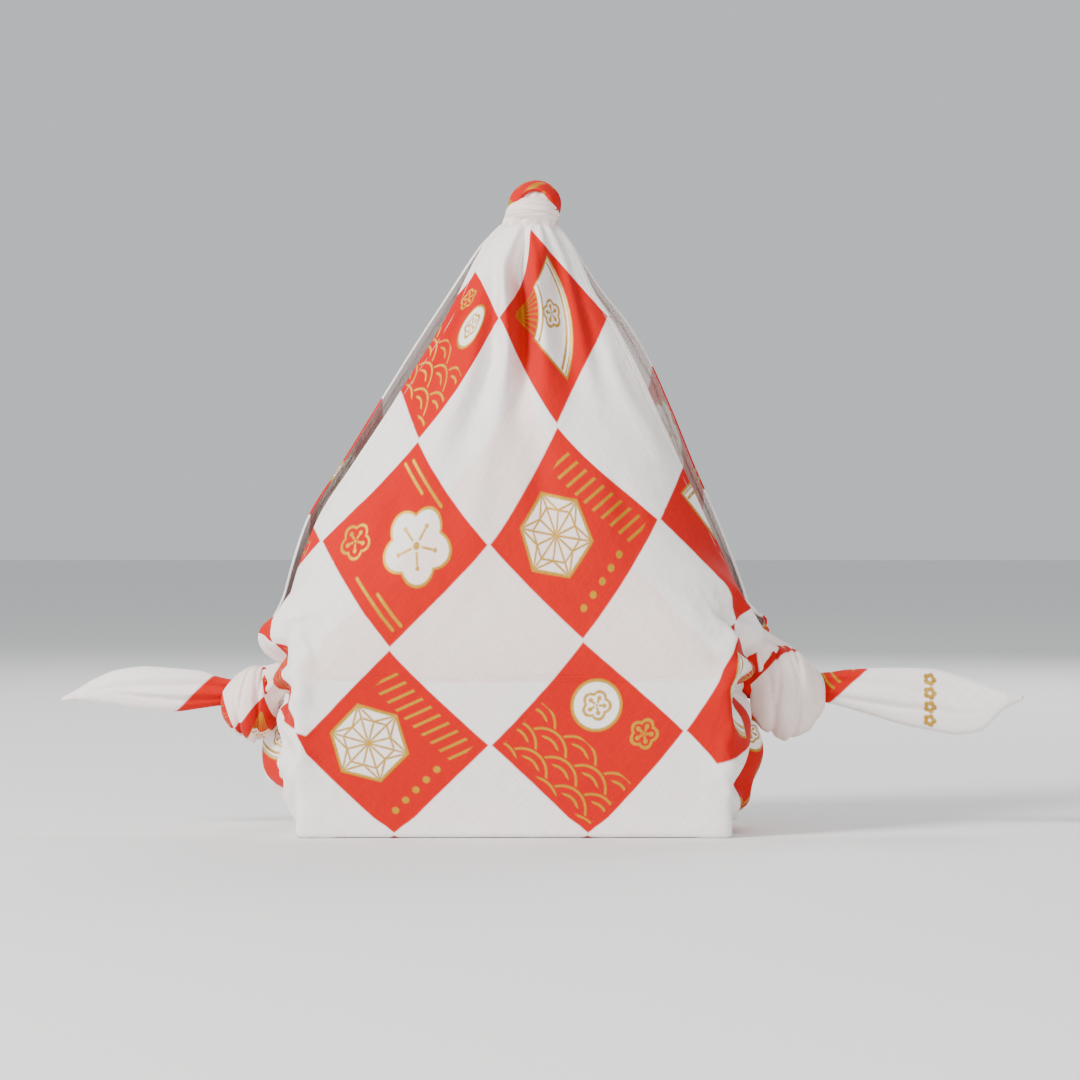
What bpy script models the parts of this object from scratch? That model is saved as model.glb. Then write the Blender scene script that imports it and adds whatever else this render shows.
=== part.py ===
"""A furoshiki wrap: one square of thin cotton, tied up as a bag.

The cloth stands as it does round a box-shaped gift. Its front and back corners meet in a
small knot at the top. Each side corner is tied in an overhand knot, with a tail that
stands out, and a slit is left open above each side knot between the two panels.
+X is to the right seen from the front, +Y points away from the viewer and +Z is up.
The origin is the middle of the flat base. Sizes are in millimetres until MM is applied.
"""

import math

import bmesh
import bpy
import numpy as np

MM = 0.001
CLOTH = 1.4  # thickness of the cloth
TOUCHING = 0.0001  # points nearer than this are the same point
THROAT_HEIGHT = 62.0  # where the cloth gathers into the side knots
CLOTH_COLOUR = (0.86, 0.84, 0.82, 1.0)

RIGHTWARD, LEFTWARD = (1, 0, 0), (-1, 0, 0)
FORWARD, BACKWARD = (0, -1, 0), (0, 1, 0)
UP = (0, 0, 1)

# The bag's outline by height. left and right are the reach of the back panel's hems, flare
# is how much of that is cloth drawn out past the box-shaped part, depth is half the depth,
# gap is half the slit between the two hems, square is the power of the plan's outline, and
# tuck is how far the front panel's hems stay inside the back panel's.
BAG_COLUMNS = ("height", "left", "right", "flare", "depth", "gap", "square", "tuck")
BAG_ROWS = (
    (0, 84.0, 83.2, 0, 49.5, 0, 10, 0),
    (4, 88.8, 88.6, 2.5, 51.6, 0, 11, 0),
    (14, 92.3, 92.4, 6.5, 52.3, 0, 12, 0),
    (30, 96.3, 95.0, 10.0, 52.5, 0, 12, 0),
    (46, 98.0, 96.2, 11.5, 52.5, 0, 12, 0),
    (62, 98.8, 97.6, 12.0, 52.5, 0, 12, 0),
    (74, 99.4, 98.6, 13.0, 52.0, 3.5, 10, 1.5),
    (82, 100.8, 99.4, 13.2, 50.6, 5.2, 8.2, 3.0),
    (90, 97.6, 97.8, 11.8, 48.6, 6.8, 6.6, 4.0),
    (99, 95.4, 95.4, 9.8, 46.3, 8.2, 5.4, 4.0),
    (110, 92.6, 91.6, 7.4, 43.5, 9.8, 4.4, 4.5),
    (128, 86.6, 84.6, 4.0, 38.8, 11.5, 3.4, 6.0),
    (150, 72.9, 75.0, 2.0, 33.0, 12.0, 2.8, 6.5),
    (175, 57.4, 64.8, 1.0, 26.8, 11.5, 2.5, 7.5),
    (197, 43.6, 54.6, 0, 21.3, 9.8, 2.3, 7.5),
    (211, 34.4, 46.0, 0, 18.0, 8.0, 2.2, 6.5),
    (222, 27.0, 36.8, 0, 15.6, 5.8, 2.1, 4.5),
    (236, 17.4, 27.6, 0, 12.6, 2.6, 2, 1.5),
    (243, 12.2, 22.8, 0, 11.0, 1.6, 2, 0.5),
    (249, 5.0, 17.0, 0, 7.0, 1.0, 2, 0),
)
CLOSED_LEVELS = (0, 4, 13, 30, 46, 62)
OPEN_LEVELS = (71, 81, 90, 100, 111, 124, 138, 153, 169, 185, 200, 213, 226, 238, 249)
SIDE_STEPS = 7
SIDE_SPACING = 1.25  # the steps widen away from the side knot
NOSE = 0.22  # how rounded the cloth is along the middle of a side wall
FACE_STEPS = {-1: 26, 1: 16}  # across the front and across the back
PLAN_STEPS = 90  # the plan's outline is worked out this finely before it is divided

# Soft folds that run down from the neck. ray is the place across the panel, from -1 at its
# left hem to 1 at its right hem, reach is the height where the fold has died away.
FOLD_COLUMNS = ("ray", "width", "rise", "reach")
FOLD_TOP = 226.0  # the folds are highest here
FULL_FOLD_WIDTH = 84.0  # where the panel is narrower than this, its folds are lower
FRONT_FOLDS = (
    (-0.80, 0.09, -2.0, 140),
    (-0.58, 0.10, -2.2, 125),
    (-0.36, 0.09, -2.2, 108),
    (-0.21, 0.08, 2.2, 120),
    (-0.06, 0.06, -4.4, 104),
    (0.07, 0.08, 2.6, 116),
    (0.25, 0.09, -2.3, 128),
    (0.46, 0.10, -2.1, 122),
    (0.64, 0.08, 1.6, 150),
    (0.81, 0.09, -1.8, 150),
)
BACK_FOLDS = (
    (-0.76, 0.11, -2.0, 140),
    (-0.45, 0.11, -2.4, 118),
    (-0.20, 0.10, 2.0, 125),
    (0.02, 0.09, -3.4, 108),
    (0.26, 0.11, -2.2, 124),
    (0.52, 0.10, 1.8, 132),
    (0.74, 0.10, -2.0, 145),
)

# Pleats that radiate over the side walls from where the side knots draw the cloth in.
SIDE_PLEATS = 7
SIDE_PLEAT_RISE = 1.8
SIDE_PLEAT_REACH = 17.0

# Gathered stretches of cloth, as oval sections one after another: through the side knots
# they run along X with y and z across, and at the neck they run up Z with x and y across.
BUNDLE_COLUMNS = ("along", "across", "up", "half_across", "half_up")
BUNDLE_RIDGES = 8
BUNDLE_RIDGE_RISE = 0.06
RIGHT_CORE = (
    (90, 0, 68.0, 5.0, 9.0),
    (97, -1, 69.5, 8.5, 15.5),
    (104, -1, 66.0, 11.0, 15.0),
    (112, 0, 62.0, 11.0, 14.2),
    (120, 0, 59.4, 9.0, 11.8),
    (127, 0, 58.4, 6.5, 8.6),
    (133, 0, 58.0, 4.0, 6.0),
    (139, 0, 58.0, 1.6, 4.6),
)
LEFT_CORE = (
    (-89, 0, 62.0, 5.0, 8.0),
    (-95, -1, 60.5, 7.0, 8.5),
    (-102, -0.5, 56.0, 10.4, 10.8),
    (-110, -1.0, 54.2, 10.6, 11.4),
    (-117, 0, 55.2, 7.0, 8.8),
    (-123, 0, 56.0, 4.5, 6.0),
    (-130, 0, 57.0, 1.6, 4.4),
)
NECK = (
    (240.0, 5.6, 0, 11.0, 6.5),
    (244.5, 5.8, 0, 13.8, 9.0),
    (248.0, 6.1, 0, 13.3, 9.6),
    (252.5, 6.9, 0, 10.6, 8.4),
    (257.0, 8.2, 0, 9.8, 8.0),
    (261.0, 8.8, 0, 8.2, 6.8),
    (264.0, 9.0, 0, 4.5, 3.8),
)

# The loop of each knot. turn goes round the knot's heart in degrees, along is the place
# along the loop's axis, out is how far the loop runs from the heart, and cup is how far its
# two edges bend in towards it.
LOOP_COLUMNS = ("turn", "along", "out", "width", "thick", "cup")
LOOP_STEPS = 20
LOOP_SIDES = 14
RIGHT_HEART = (113, 0, 57)
LEFT_HEART = (-108, 0, 52)
ARCH_HEART = (8.6, 0, 255)
WRAP_HEART = (7.5, 0, 255)
RIGHT_LOOP = (
    (-30, -8.5, 10.0, 12, 5, 1),
    (0, -6.0, 15.5, 20, 7, 4),
    (30, -3.0, 16.0, 27, 7, 7),
    (90, -0.5, 14.0, 31, 7, 9),
    (140, -0.5, 16.0, 31, 7, 9),
    (180, -1.0, 16.8, 30, 7, 8.5),
    (230, -1.0, 14.0, 25, 7, 6),
    (270, -2.0, 12.0, 20, 6, 3),
    (300, -3.5, 8.0, 12, 5, 1),
)
LEFT_LOOP = (
    (-30, 6.0, 8.0, 10, 5, 1),
    (0, 3.0, 11.8, 15, 6, 3),
    (30, 0.5, 12.5, 20, 6, 4.5),
    (90, -1.0, 11.5, 24, 6, 6),
    (140, -0.5, 12.5, 24, 6, 6.5),
    (180, 0.5, 13.0, 21, 6, 6),
    (230, 1.0, 11.5, 19, 6, 4),
    (265, 1.5, 10.0, 15, 5, 2),
    (290, 2.5, 7.5, 10, 4, 1),
)
TOP_ARCH = (
    (-35, 0, 7.5, 8, 4, 0),
    (0, 0, 8.6, 12, 5, 1),
    (45, 0, 9.6, 15, 5, 1.5),
    (95, 0, 10.0, 16, 5, 1.5),
    (140, 0, 9.2, 15, 5, 1.5),
    (180, 0, 7.4, 12, 5, 1),
    (215, 0, 6.8, 8, 4, 0),
)
TOP_WRAP = (
    (0, -1.5, 9.4, 7, 4, 1),
    (45, 0.0, 8.8, 9, 5, 1.5),
    (90, 0.6, 8.0, 10, 5, 2),
    (135, 0.0, 8.8, 9, 5, 1.5),
    (180, -1.5, 9.0, 7, 4, 1),
    (225, -1.0, 8.6, 8, 5, 1.5),
    (270, -0.5, 8.0, 9, 5, 2),
    (315, -1.0, 8.6, 8, 5, 1.5),
    (360, -1.5, 9.4, 7, 4, 1),
)

# The tails, seen from the front: the top and bottom edge at each place along X, the cloth
# folded behind at each edge, and how far the front layer bows towards the viewer.
TAIL_COLUMNS = ("x", "top", "bottom", "behind", "bow", "y")
RIGHT_TAIL = (
    (130.0, 64.5, 51.5, 2.2, 0.8, 0.0),
    (138.0, 65.6, 49.4, 3.6, 1.8, 0.2),
    (148.0, 66.0, 46.4, 5.0, 2.8, 0.5),
    (160.0, 66.2, 42.8, 6.0, 3.2, 0.8),
    (173.0, 65.7, 40.1, 5.0, 3.0, 0.4),
    (183.0, 63.2, 38.6, 2.4, 2.4, -0.6),
    (192.0, 60.4, 40.0, 0.3, 1.6, -2.0),
    (202.0, 57.2, 49.0, 0.2, 0.8, -3.6),
    (209.5, 54.8, 53.2, 0.1, 0.2, -4.6),
)
LEFT_TAIL = (
    (-122.0, 62.5, 50.5, 2.0, 0.6, 0.0),
    (-130.0, 65.0, 49.4, 3.2, 1.6, -0.4),
    (-140.0, 66.0, 48.2, 4.4, 2.4, -0.8),
    (-152.0, 66.8, 48.6, 4.0, 2.6, -0.6),
    (-163.0, 65.6, 50.3, 2.4, 2.0, 0.4),
    (-173.0, 62.0, 51.5, 0.6, 1.4, 1.8),
    (-182.0, 56.8, 52.6, 0.2, 0.6, 3.4),
    (-187.7, 53.6, 52.4, 0.1, 0.2, 4.4),
)
TAIL_FOLD = 2.4  # radius of the fold along each edge of a tail
TAIL_SECTIONS = 12
TAIL_STEPS = 14
TAIL_CREASE = 0.3  # how deep the creases along a tail are, as a share of its bow
TAIL_CREASES = 2.5


def rows_as_named(columns, rows):
    """A table's rows, each with its values under the names of their columns."""
    return [dict(zip(columns, row)) for row in rows]


def row_at(columns, rows, at):
    """The other columns of a table at any place along its first one, without overshoot."""
    return {name: column_at(columns.index(name), rows, at) for name in columns[1:]}


def column_at(column, rows, at):
    """One column of a table at any place along its first one, as a monotone cubic."""
    keys = np.array([row[0] for row in rows], float)
    values = np.array([row[column] for row in rows], float)
    if keys[0] > keys[-1]:
        keys, values = keys[::-1], values[::-1]
    rises = np.diff(values) / np.diff(keys)
    slopes = np.zeros(len(keys))
    same = rises[:-1] * rises[1:] > 0
    slopes[1:-1][same] = 2 / (1 / rises[:-1][same] + 1 / rises[1:][same])
    slopes[0], slopes[-1] = rises[0], rises[-1]
    i = np.clip(np.searchsorted(keys, at) - 1, 0, len(keys) - 2)
    span = keys[i + 1] - keys[i]
    t = np.clip((at - keys[i]) / span, 0, 1)
    return (
        values[i] * (1 + 2 * t) * (1 - t) ** 2
        + values[i + 1] * t * t * (3 - 2 * t)
        + span * (slopes[i] * t * (1 - t) ** 2 - slopes[i + 1] * t * t * (1 - t))
    )


def ease(t):
    """0 to 1, with no slope at either end."""
    t = np.clip(t, 0, 1)
    return t * t * (3 - 2 * t)


def evenly(line, steps, spacing=1.0):
    """The line again in that many steps, equal ones or ones that widen along it."""
    along = np.concatenate([[0], np.cumsum(np.linalg.norm(np.diff(line, axis=0), axis=1))])
    places = along[-1] * np.linspace(0, 1, steps + 1) ** spacing
    return np.stack([np.interp(places, along, line[:, k]) for k in range(line.shape[1])], axis=1)


def panel_folds(face, ray, height, width):
    """How far the folds that run down from the neck lift a panel that is this wide."""
    lift = np.zeros(len(ray))
    for fold in rows_as_named(FOLD_COLUMNS, FRONT_FOLDS if face < 0 else BACK_FOLDS):
        strength = ease((height - fold["reach"]) / (FOLD_TOP - fold["reach"]))
        across = (ray - fold["ray"]) / fold["width"]
        lift += fold["rise"] * strength * np.exp(-across * across)
    return lift * min(1.0, (width / FULL_FOLD_WIDTH) ** 1.5)


def side_pleats(y, height, side):
    """How far the pleats round the side knot's throat lift the side wall."""
    distance = np.hypot(y, height - THROAT_HEIGHT)
    angle = np.arctan2(y, THROAT_HEIGHT - height)
    share = distance / SIDE_PLEAT_REACH
    return SIDE_PLEAT_RISE * np.cos(SIDE_PLEATS * angle + side) * share * np.exp(1 - share)


def quarter(height, side, face):
    """Plan of one quarter of the bag at a height, from its hem or side to the middle of its face."""
    row = row_at(BAG_COLUMNS, BAG_ROWS, height)
    middle = (row["right"] - row["left"]) / 2
    tuck = row["tuck"] if face < 0 else 0.0
    half = (row["right"] + row["left"]) / 2 - tuck - row["flare"]
    turn = np.linspace(0, math.pi / 2, 2 * PLAN_STEPS + 1)
    power = 2 / row["square"]
    inward = np.sin(turn) ** power
    nose = (np.hypot(inward, NOSE) - NOSE) / (math.hypot(1, NOSE) - NOSE)
    x = half * np.clip(np.cos(turn), 0, 1) ** power + row["flare"] * (1 - nose)
    y = row["gap"] + (row["depth"] - row["gap"]) * inward
    line = np.stack([x, y], axis=1)
    side_part = evenly(line[: PLAN_STEPS + 1], SIDE_STEPS, SIDE_SPACING)
    face_part = evenly(line[PLAN_STEPS:], FACE_STEPS[face] // 2)
    line = np.concatenate([side_part, face_part[1:]])
    along = np.gradient(line, axis=0)
    normal = np.stack([along[:, 1], -along[:, 0]], axis=1)
    normal /= np.linalg.norm(normal, axis=1)[:, None]
    normal[0] = (1, 0)
    normal[-1] = (0, 1)
    ray = side * line[:, 0] / (half + row["flare"])
    lift = panel_folds(face, ray, height, row["left"] + row["right"])
    nearer_side = 1 - ease((line[:, 1] - row["gap"]) / (row["depth"] - row["gap"]))
    lift += side_pleats(line[:, 1] * face, height, side) * nearer_side
    if height > 0:
        line += normal * lift[:, None]
    return np.stack([middle + side * line[:, 0], face * line[:, 1], np.full(len(line), height)], axis=1)


def panel(height, face):
    """One panel's points at a height, from its left edge to its right edge."""
    left, right = quarter(height, -1, face), quarter(height, 1, face)
    return np.concatenate([left, right[-2::-1]])


def mesh_object(name, bm, collection, material):
    """An object made from a bmesh that is in millimetres."""
    bmesh.ops.scale(bm, vec=(MM, MM, MM), verts=bm.verts)
    mesh = bpy.data.meshes.new(name)
    bm.to_mesh(mesh)
    bm.free()
    mesh.materials.append(material)
    mesh.shade_smooth()
    made = bpy.data.objects.new(name, mesh)
    collection.objects.link(made)
    return made


def add_grid(bm, rows, around=False):
    """Quads between rows of points, each row running the same way. Returns the rings of vertices."""
    rings = [[bm.verts.new(point) for point in row] for row in rows]
    for low, high in zip(rings, rings[1:]):
        count = len(low)
        for i in range(count if around else count - 1):
            j = (i + 1) % count
            bm.faces.new((low[i], low[j], high[j], high[i]))
    return rings


def thicken(made, inward):
    """Gives a surface the cloth's thickness."""
    shell = made.modifiers.new("cloth_thickness", "SOLIDIFY")
    shell.thickness = CLOTH * MM
    shell.offset = -1.0 if inward else 0.0
    shell.use_even_offset = True
    shell.thickness_clamp = 0.9


def make_bag(collection, material):
    """The bag: a flat base, walls up to the side knots, and two panels up to the neck."""
    bm = bmesh.new()
    levels = CLOSED_LEVELS + OPEN_LEVELS
    add_grid(bm, [panel(height, -1) for height in levels])
    add_grid(bm, [panel(height, 1)[::-1] for height in levels])
    joined = [v for v in bm.verts if v.co.z < THROAT_HEIGHT + TOUCHING]
    bmesh.ops.remove_doubles(bm, verts=joined, dist=TOUCHING)
    bottom = [e for e in bm.edges if e.is_boundary and max(v.co.z for v in e.verts) < TOUCHING]
    bmesh.ops.contextual_create(bm, geom=bottom)
    bmesh.ops.recalc_face_normals(bm, faces=bm.faces)
    made = mesh_object("wrap_cloth", bm, collection, material)
    thicken(made, inward=True)
    return made


def make_bundle(name, rows, upright, collection, material):
    """A gathered stretch of cloth: oval sections with ridges, closed at both ends."""
    sides = 3 * BUNDLE_RIDGES
    rings = []
    for row in rows_as_named(BUNDLE_COLUMNS, rows):
        ring = []
        for k in range(sides):
            angle = 2 * math.pi * k / sides
            ridge = 1 + BUNDLE_RIDGE_RISE * math.cos(BUNDLE_RIDGES * angle)
            a = row["across"] + row["half_across"] * ridge * math.cos(angle)
            b = row["up"] + row["half_up"] * ridge * math.sin(angle)
            ring.append((a, b, row["along"]) if upright else (row["along"], a, b))
        rings.append(ring)
    return tube(name, rings, False, collection, material)


def tube(name, rings, closed, collection, material):
    """A solid through rings of points: a closed loop, or a length with both ends capped."""
    bm = bmesh.new()
    made = add_grid(bm, rings, around=True)
    if closed:
        for i in range(len(made[0])):
            j = (i + 1) % len(made[0])
            bm.faces.new((made[-1][i], made[-1][j], made[0][j], made[0][i]))
    else:
        bm.faces.new(made[0])
        bm.faces.new(made[-1])
    bmesh.ops.recalc_face_normals(bm, faces=bm.faces)
    return mesh_object(name, bm, collection, material)


def make_loop(name, rows, heart, axes, collection, material, sides=LOOP_SIDES):
    """A flat strand that runs round the heart of a knot, its edges bent in towards it."""
    axis, first, quarter_on = np.array(axes, float)
    closed = rows[-1][0] - rows[0][0] == 360
    turns = np.linspace(rows[0][0], rows[-1][0], LOOP_STEPS, endpoint=not closed)
    row = row_at(LOOP_COLUMNS, rows, turns)
    angle = np.radians(turns)[:, None]
    radial = np.cos(angle) * first + np.sin(angle) * quarter_on
    line = heart + row["along"][:, None] * axis + row["out"][:, None] * radial
    rings = []
    for i in range(LOOP_STEPS):
        before = line[i - 1] if closed or i > 0 else line[i]
        after = line[(i + 1) % LOOP_STEPS] if closed or i + 1 < LOOP_STEPS else line[i]
        along = (after - before) / np.linalg.norm(after - before)
        out = radial[i] - along * (radial[i] @ along)
        out /= np.linalg.norm(out)
        wide = np.cross(along, out)
        ring = []
        for k in range(sides):
            turn = 2 * math.pi * k / sides
            across = row["width"][i] / 2 * math.cos(turn)
            rise = row["thick"][i] / 2 * math.sin(turn) - row["cup"][i] * math.cos(turn) ** 2
            ring.append(line[i] + wide * across + out * rise)
        rings.append(ring)
    return tube(name, rings, closed, collection, material)


def tail_section(x, row):
    """The tail across at one place: behind the top edge, down the front and behind the bottom."""
    height = row["top"] - row["bottom"]
    radius = min(TAIL_FOLD, height / 3)
    middle = (row["top"] + row["bottom"]) / 2
    straight = height / 2 - radius
    turns = np.linspace(math.pi / 2, -math.pi / 2, 5)
    fold = np.stack([radius * np.sin(turns), straight + radius * np.cos(turns)], axis=1)
    top = np.concatenate([[(radius, straight - row["behind"])], fold])
    bottom = top[::-1] * (1, -1)
    line = evenly(np.concatenate([top, bottom]), TAIL_STEPS)
    share = line[:, 1] / (height / 2)
    crease = TAIL_CREASE * np.cos(TAIL_CREASES * math.pi * share)
    bow = row["bow"] * (1 - share * share + crease)
    return [(x, row["y"] + y - b, middle + z) for (y, z), b in zip(line, bow)]


def make_tail(name, rows, collection, material):
    """A tail: the corner of the cloth, folded along both edges and spreading from the knot."""
    places = np.linspace(rows[0][0], rows[-1][0], TAIL_SECTIONS)
    bm = bmesh.new()
    add_grid(bm, [tail_section(x, row_at(TAIL_COLUMNS, rows, x)) for x in places])
    bmesh.ops.recalc_face_normals(bm, faces=bm.faces)
    made = mesh_object(name, bm, collection, material)
    thicken(made, inward=False)
    return made


def make_knots(collection, material):
    """The gathered and knotted stretches of the cloth, to be joined to the bag."""
    look = (collection, material)
    side_axes = (RIGHTWARD, UP, FORWARD)
    return [
        make_bundle("neck", NECK, True, *look),
        make_loop("top_arch", TOP_ARCH, ARCH_HEART, (BACKWARD, LEFTWARD, UP), *look, sides=12),
        make_loop("top_wrap", TOP_WRAP, WRAP_HEART, (UP, LEFTWARD, FORWARD), *look, sides=12),
        make_bundle("right_core", RIGHT_CORE, False, *look),
        make_loop("right_loop", RIGHT_LOOP, RIGHT_HEART, side_axes, *look),
        make_tail("right_tail", RIGHT_TAIL, *look),
        make_bundle("left_core", LEFT_CORE, False, *look),
        make_loop("left_loop", LEFT_LOOP, LEFT_HEART, side_axes, *look),
        make_tail("left_tail", LEFT_TAIL, *look),
    ]


def join(bag, pieces):
    """Joins each piece to the bag, so that the whole cloth is one solid."""
    for piece in pieces:
        piece.hide_render = True
        piece.display_type = "WIRE"
        union = bag.modifiers.new("join_" + piece.name, "BOOLEAN")
        union.operation = "UNION"
        union.solver = "EXACT"
        union.object = piece


def cotton():
    """Plain white cotton; the print is left to the renderer's own materials."""
    material = bpy.data.materials.new("cotton")
    material.use_nodes = True
    shader = material.node_tree.nodes["Principled BSDF"]
    shader.inputs["Base Color"].default_value = CLOTH_COLOUR
    shader.inputs["Roughness"].default_value = 0.85
    return material


def main():
    for old in list(bpy.data.objects):
        bpy.data.objects.remove(old, do_unlink=True)
    wrap = bpy.data.collections.new("furoshiki_wrap")
    joined = bpy.data.collections.new("joined_pieces")
    for collection in (wrap, joined):
        bpy.context.scene.collection.children.link(collection)
    material = cotton()
    bag = make_bag(wrap, material)
    join(bag, make_knots(joined, material))


main()
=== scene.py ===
"""A furoshiki wrap of printed cotton: the cloth, its folds, its knots and its print.

The cloth is drawn in millimetres: +X to the right, +Y away from the viewer and +Z up,
with the origin in the middle of the flat base. Each point also carries a place on the flat
cloth, which the print and the weave follow. The bag's places run on from one to the next;
those of the neck, the knots and the tails are chosen for each piece by itself.
"""

import math

import bpy
import mathutils
import numpy as np
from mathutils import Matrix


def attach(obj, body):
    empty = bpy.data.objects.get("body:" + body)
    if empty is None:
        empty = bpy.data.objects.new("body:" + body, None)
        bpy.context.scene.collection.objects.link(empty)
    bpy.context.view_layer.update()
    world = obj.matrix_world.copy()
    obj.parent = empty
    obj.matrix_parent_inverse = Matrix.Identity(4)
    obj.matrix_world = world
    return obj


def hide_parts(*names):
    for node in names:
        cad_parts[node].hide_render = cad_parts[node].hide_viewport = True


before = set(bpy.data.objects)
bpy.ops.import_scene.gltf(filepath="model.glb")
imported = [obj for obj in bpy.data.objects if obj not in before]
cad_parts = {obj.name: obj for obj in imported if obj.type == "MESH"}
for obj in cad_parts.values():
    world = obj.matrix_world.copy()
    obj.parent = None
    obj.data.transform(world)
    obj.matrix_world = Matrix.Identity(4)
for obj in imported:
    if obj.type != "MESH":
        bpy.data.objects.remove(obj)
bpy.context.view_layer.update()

MM = 0.001
CLOTH = 0.5  # thickness of the cloth
THROAT_HEIGHT = 62.0  # where the cloth gathers into the side knots
RIGHTWARD, LEFTWARD = (1, 0, 0), (-1, 0, 0)
FORWARD, BACKWARD = (0, -1, 0), (0, 1, 0)
UP = (0, 0, 1)

# The bag's outline by height. left and right are the reach of the back panel's hems, flare
# is how much of that is cloth drawn out past the box-shaped part, depth is half the depth,
# gap is half the slit between the two hems, square is the power of the plan's outline, and
# tuck is how far the front panel's hems stay inside the back panel's.
BAG_COLUMNS = ("height", "left", "right", "flare", "depth", "gap", "square", "tuck")
BAG_ROWS = (
    (4, 88.8, 88.6, 2.5, 51.6, 0, 11, 0),
    (14, 92.3, 92.4, 6.5, 52.3, 0, 12, 0),
    (30, 96.3, 95.0, 10.0, 52.5, 0, 12, 0),
    (46, 98.0, 96.2, 11.5, 52.5, 0, 12, 0),
    (62, 98.8, 97.6, 12.0, 52.5, 0, 12, 0),
    (74, 99.4, 98.6, 13.0, 52.0, 3.5, 10, 1.5),
    (82, 100.8, 99.4, 13.2, 50.6, 5.2, 8.2, 3.0),
    (90, 97.6, 97.8, 11.8, 48.6, 6.8, 6.6, 4.0),
    (99, 95.4, 95.4, 9.8, 46.3, 8.2, 5.4, 4.0),
    (110, 92.6, 91.6, 7.4, 43.5, 9.8, 4.4, 4.5),
    (128, 86.6, 84.6, 4.0, 38.8, 11.5, 3.4, 6.0),
    (150, 72.9, 75.0, 2.0, 33.0, 12.0, 2.8, 6.5),
    (175, 57.4, 64.8, 1.0, 26.8, 11.5, 2.5, 7.5),
    (197, 43.6, 54.6, 0, 21.3, 9.8, 2.3, 7.5),
    (211, 34.4, 46.0, 0, 18.0, 8.0, 2.2, 6.5),
    (222, 27.0, 36.8, 0, 15.6, 5.8, 2.1, 4.5),
    (236, 17.4, 27.6, 0, 12.6, 2.6, 2, 1.5),
    (243, 12.2, 22.8, 0, 11.0, 1.6, 2, 0.5),
    (249, 5.0, 17.0, 0, 7.0, 1.0, 2, 0),
)
TOE = 5.0  # radius of the edge round the base
TOE_LEVELS = 4
NECK_HEIGHT = 249.0
LEVEL_SPACING = 3.8
SIDE_STEPS = 19
SIDE_SPACING = 1.1  # the steps widen away from the side knot
FACE_STEPS = {-1: 48, 1: 34}  # across the front and across the back
LENS_HEIGHTS = (84.0, 116.0)  # between these the plan turns from a box's to two shallow arcs
LENS_POWER = 1.15
PLAN_STEPS = 240  # the plan's outline is worked out this finely before it is divided
NOSE = 0.22  # how rounded the cloth is along the middle of a side wall
BASE_RINGS = 7

# Folds down the front. path runs from the neck down as (height, x), width is the half width
# at the top and at the end, and rise is how far the cloth stands out or falls in.
FOLD_COLUMNS = ("path", "top_width", "end_width", "rise")
FRONT_FOLDS = (
    (
        ((252, 6.4), (237, 2.6), (229, 1.6), (215, 3.4), (200, 4.4), (188, 4), (170, 2.4), (140, 4)),
        2.0,
        7.0,
        -9.0,
    ),
    (((248, 10), (228, 8.6), (210, 10.6), (190, 11.5), (158, 14)), 2.6, 7.0, 5.0),
    (((246, 0), (230, -4.4), (212, -3.8), (198, -3.2), (180, -5), (150, -8)), 2.4, 6.0, 4.4),
    (((238, -7), (215, -8.6), (198, -8.4), (182, -12.5), (164, -18.5), (136, -26)), 2.2, 7.0, -4.6),
    (((216, -14), (198, -15), (180, -20), (158, -30), (128, -38)), 3.0, 8.0, 2.4),
    (((245, 14.6), (228, 18), (205, 20), (180, 25), (150, 30)), 2.0, 7.0, -3.4),
    (((234, 22), (212, 29), (190, 35), (160, 43)), 2.2, 6.0, -2.0),
    (((240, 17.4), (218, 24.5), (196, 29), (168, 36)), 2.0, 5.0, 1.6),
    (((228, -14), (206, -24), (184, -33), (150, -49)), 2.2, 7.0, -2.4),
    (((206, 36), (184, 42), (153, 60), (128, 70)), 3.0, 7.0, 1.5),
    (((176, 8), (150, 10), (122, 13), (98, 14)), 4.0, 7.0, -1.7),
    (((168, -8), (140, -14), (112, -18), (92, -20)), 4.0, 7.0, 1.3),
    (((150, 40), (128, 46), (104, 49)), 4.0, 6.0, -1.2),
    (((140, -44), (118, -53), (98, -58)), 4.0, 6.0, -1.2),
)
BACK_FOLDS = (
    (((247, 6), (205, 5.2), (170, 2), (120, 1)), 1.8, 5.0, -3.6),
    (((243, 10), (205, 18), (170, 24), (120, 36)), 1.8, 5.4, -2.3),
    (((243, 1), (205, -6), (170, -14), (128, -26)), 1.8, 5.0, 1.9),
    (((240, -4), (205, -16), (170, -30), (118, -48)), 1.8, 6.0, -2.4),
    (((232, -8), (205, -26), (170, -47), (128, -72)), 1.6, 6.0, -1.9),
    (((240, 17), (205, 30), (170, 44), (128, 60)), 1.8, 6.0, 1.8),
    (((232, 22), (205, 40), (170, 56), (136, 72)), 1.6, 6.0, -1.9),
    (((246, 8), (226, 11), (190, 14), (160, 17)), 1.2, 3.0, 1.2),
    (((246, 3), (226, -1), (190, -6), (150, -12)), 1.2, 3.4, -1.2),
)

# Short pleats where the cloth is gathered at the neck: places across from -1 to 1.
NECK_PLEATS = 11
NECK_PLEAT_RISE = 0.55
NECK_PLEAT_END = 214.0
NECK_PLEAT_WANDER = 1.3
SWAY = 0.35  # how far the slow unevenness of the panels goes

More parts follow.
